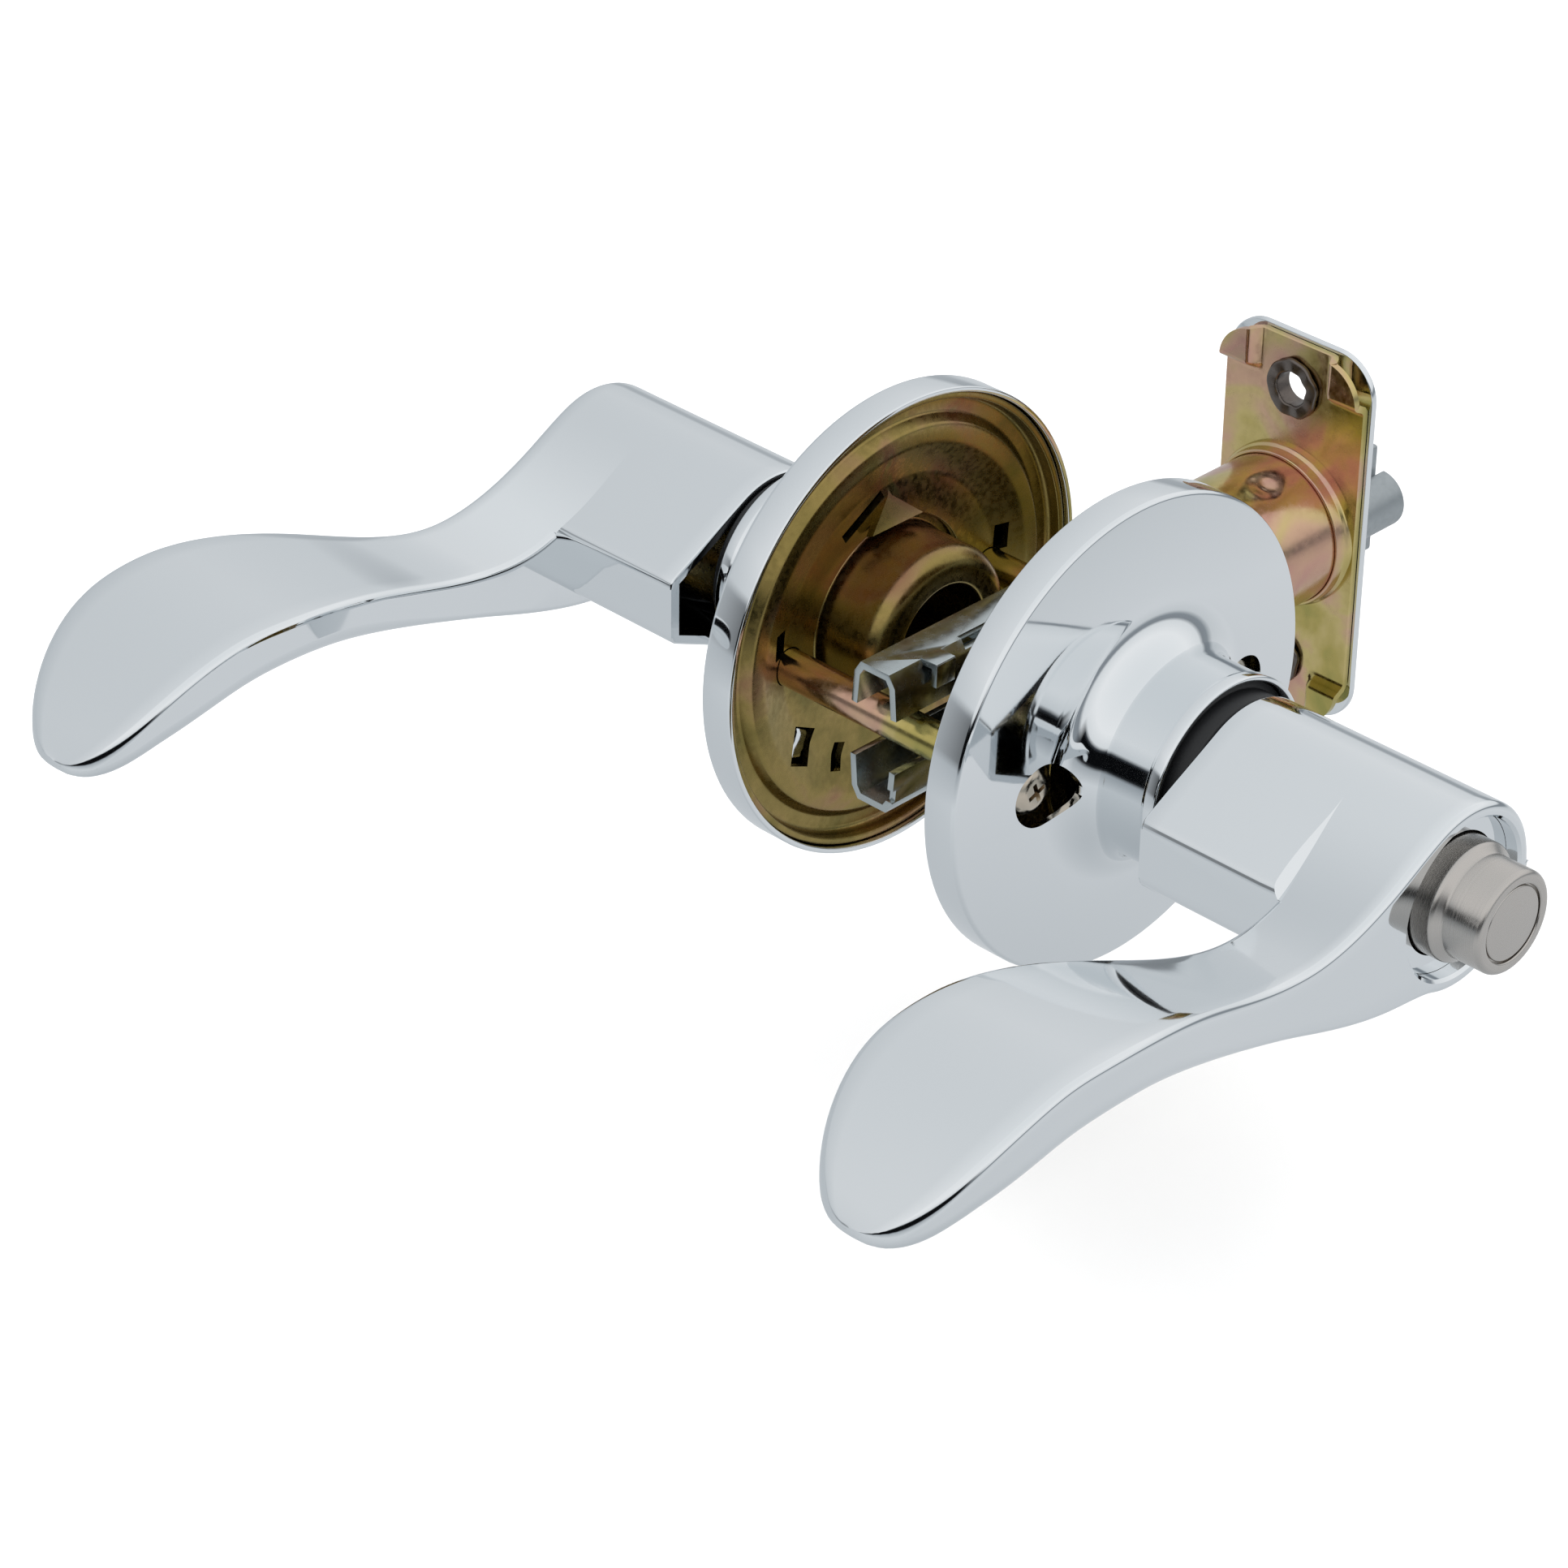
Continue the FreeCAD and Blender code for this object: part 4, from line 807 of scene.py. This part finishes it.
# ---------------------------------------------------------------- bolt and plunger
# Zinc die castings, tumbled and clear plated: a round bolt with a flat and a bevel, and the
# half-round deadlocking plunger that slides along the flat.

die_cast, tree, shader = finish_of("tumbled_zinc_casting", "#A9AFB2", 0.42)
grain(tree, shader, 0.7, 0.02, (0.34, 0.5))


def trim(piece, at, normal):
    """Cuts off what lies beyond a plane and closes the cut."""
    pick(piece)
    bpy.ops.object.mode_set(mode="EDIT")
    bpy.ops.mesh.select_all(action="SELECT")
    bpy.ops.mesh.bisect(plane_co=[a * MM for a in at], plane_no=normal, use_fill=True, clear_outer=True)
    bpy.ops.object.mode_set(mode="OBJECT")


bolt_radius, bolt_back, bolt_front, bolt_flat, bolt_side = 9.6, 46.0, 72.7, -4.2, 8.3
bolt = plain_rod(bolt_radius, bolt_back, bolt_front, steps=128)
bolt.name = "bevelled_bolt"
for at, normal in (((bolt_flat, 0, 0), (-1, 0, 0)), ((0, bolt_side, 0), (0, 1, 0)),
                   ((0, -bolt_side, 0), (0, -1, 0)), ((1.0, 0, bolt_front), (12, 0, bolt_radius))):
    trim(bolt, at, normal)
broken_edges(bolt, 0.45, 3)
settle(bolt, die_cast, "bolt", ["latch_bolt"], LATCH, 40)
plunger_radius, plunger_back, plunger_front, plunger_flat = 4.2, 42.0, 73.5, -4.6
plunger = plain_rod(plunger_radius, plunger_back, plunger_front, (plunger_flat, 0), 96)
plunger.name = "half_round_plunger"
trim(plunger, (plunger_flat, 0, 0), (1, 0, 0))
broken_edges(plunger, 0.35, 3)
settle(plunger, die_cast, "plunger", ["deadlatch_plunger"], LATCH, 40)


# ---------------------------------------------------------------- tail frames
# Two folded steel channels, clear zinc plated, that carry the hub between them. Their
# shoulders are folded at a slant, and the upper one has a hooked tab on its near side.

clear_zinc, tree, shader = finish_of("clear_zinc_plate", "#B4BBBC", 0.24)
grain(tree, shader, 1.4, 0.0012, (0.17, 0.3))
tail_end, tail_stop, tail_top, tail_jaw, tail_wall = -24.6, 22.85, 10.4, 4.0, 1.0
fold = [(-4.0, tail_jaw), (-3.6, 8.7), (-2.5, tail_top), (2.5, tail_top), (3.6, 8.7), (4.0, tail_jaw)]
for name, hand, node in (("upper_tail_channel", 1, "tail_frame_upper"),
                         ("lower_tail_channel", -1, "tail_frame_lower")):
    deselect()
    bpy.ops.mesh.primitive_grid_add(x_subdivisions=len(fold) - 1, y_subdivisions=4, size=1)
    channel = bpy.context.object
    channel.name = name
    for row in range(5):
        for column, (across, high) in enumerate(fold):
            channel.data.vertices[row * len(fold) + column].co = (
                (tail_end + (tail_stop - tail_end) * row / 4) * MM, across * MM, high * MM)
    bpy.ops.object.mode_set(mode="EDIT")
    bpy.ops.mesh.select_all(action="SELECT")
    bpy.ops.mesh.normals_make_consistent(inside=False)
    bpy.ops.object.mode_set(mode="OBJECT")
    upward = max(channel.data.polygons, key=lambda p: p.center.z).normal.z
    step = channel.modifiers.new("wall", "SOLIDIFY")
    step.thickness = tail_wall * MM
    step.offset = -1 if upward > 0 else 1
    step.use_even_offset = True
    bpy.ops.object.modifier_apply(modifier="wall")
    # A web closes the front end, with a tongue into the tube and a window cut below it.
    boolean(channel, slab((tail_wall, 6.2, 5.4), (tail_stop - tail_wall / 2, 0, 7.2)), "UNION")
    boolean(channel, slab((8.6, 4.8, 0.6), (26.6, 0, 9.3)), "UNION")
    boolean(channel, slab((3, 5.7, 2.6), (tail_stop, 0, 7.7)))
    # The long cut along the shoulder on the near side.
    boolean(channel, slab((26.0, 2.2, 3.0), (2.0, -2.9, 10.6)))
    if hand > 0:
        hook_at = -16.9
        boolean(channel, slab((3.5, 2.9, 0.9), (hook_at, -3.9, 10.2)), "UNION")
        boolean(channel, slab((3.5, 0.9, 3.3), (hook_at, -4.95, 8.85)), "UNION")
    else:
        boolean(channel, slab((1.2, 3.0, 1.8), (tail_end, -4.0, 7.6)))
    broken_edges(channel, 0.16, 2)
    place = Matrix.Scale(hand, 4, (0, 0, 1))
    settle(channel, clear_zinc, "chassis", [node], place, 30)


# ---------------------------------------------------------------- carried-over pieces
# Nodes that no piece above stands for keep their own shape. Each gets the finish of the
# real piece, and the yellow zinc ones get the darker zinc with painted shade.

spring_steel, tree, shader = finish_of("bright_drawn_spring_wire", "#8B8D90", 0.28)
grain(tree, shader, 0.5, 0.002)
finishes = {"chrome": chrome, "yellow_zinc": zinc_with_painted_shade, "clear_zinc": clear_zinc,
            "satin_nickel": satin_nickel, "bearing": acetal, "die_cast": die_cast,
            "dark_steel": dark_steel, "spring_steel": spring_steel, "nickel_screw": nickel}
for part in frame["record"]["subparts"]:
    node = frame["nodes"][part["node"]]
    node.data.materials.clear()
    node.data.materials.append(finishes[part["material_slot"]])
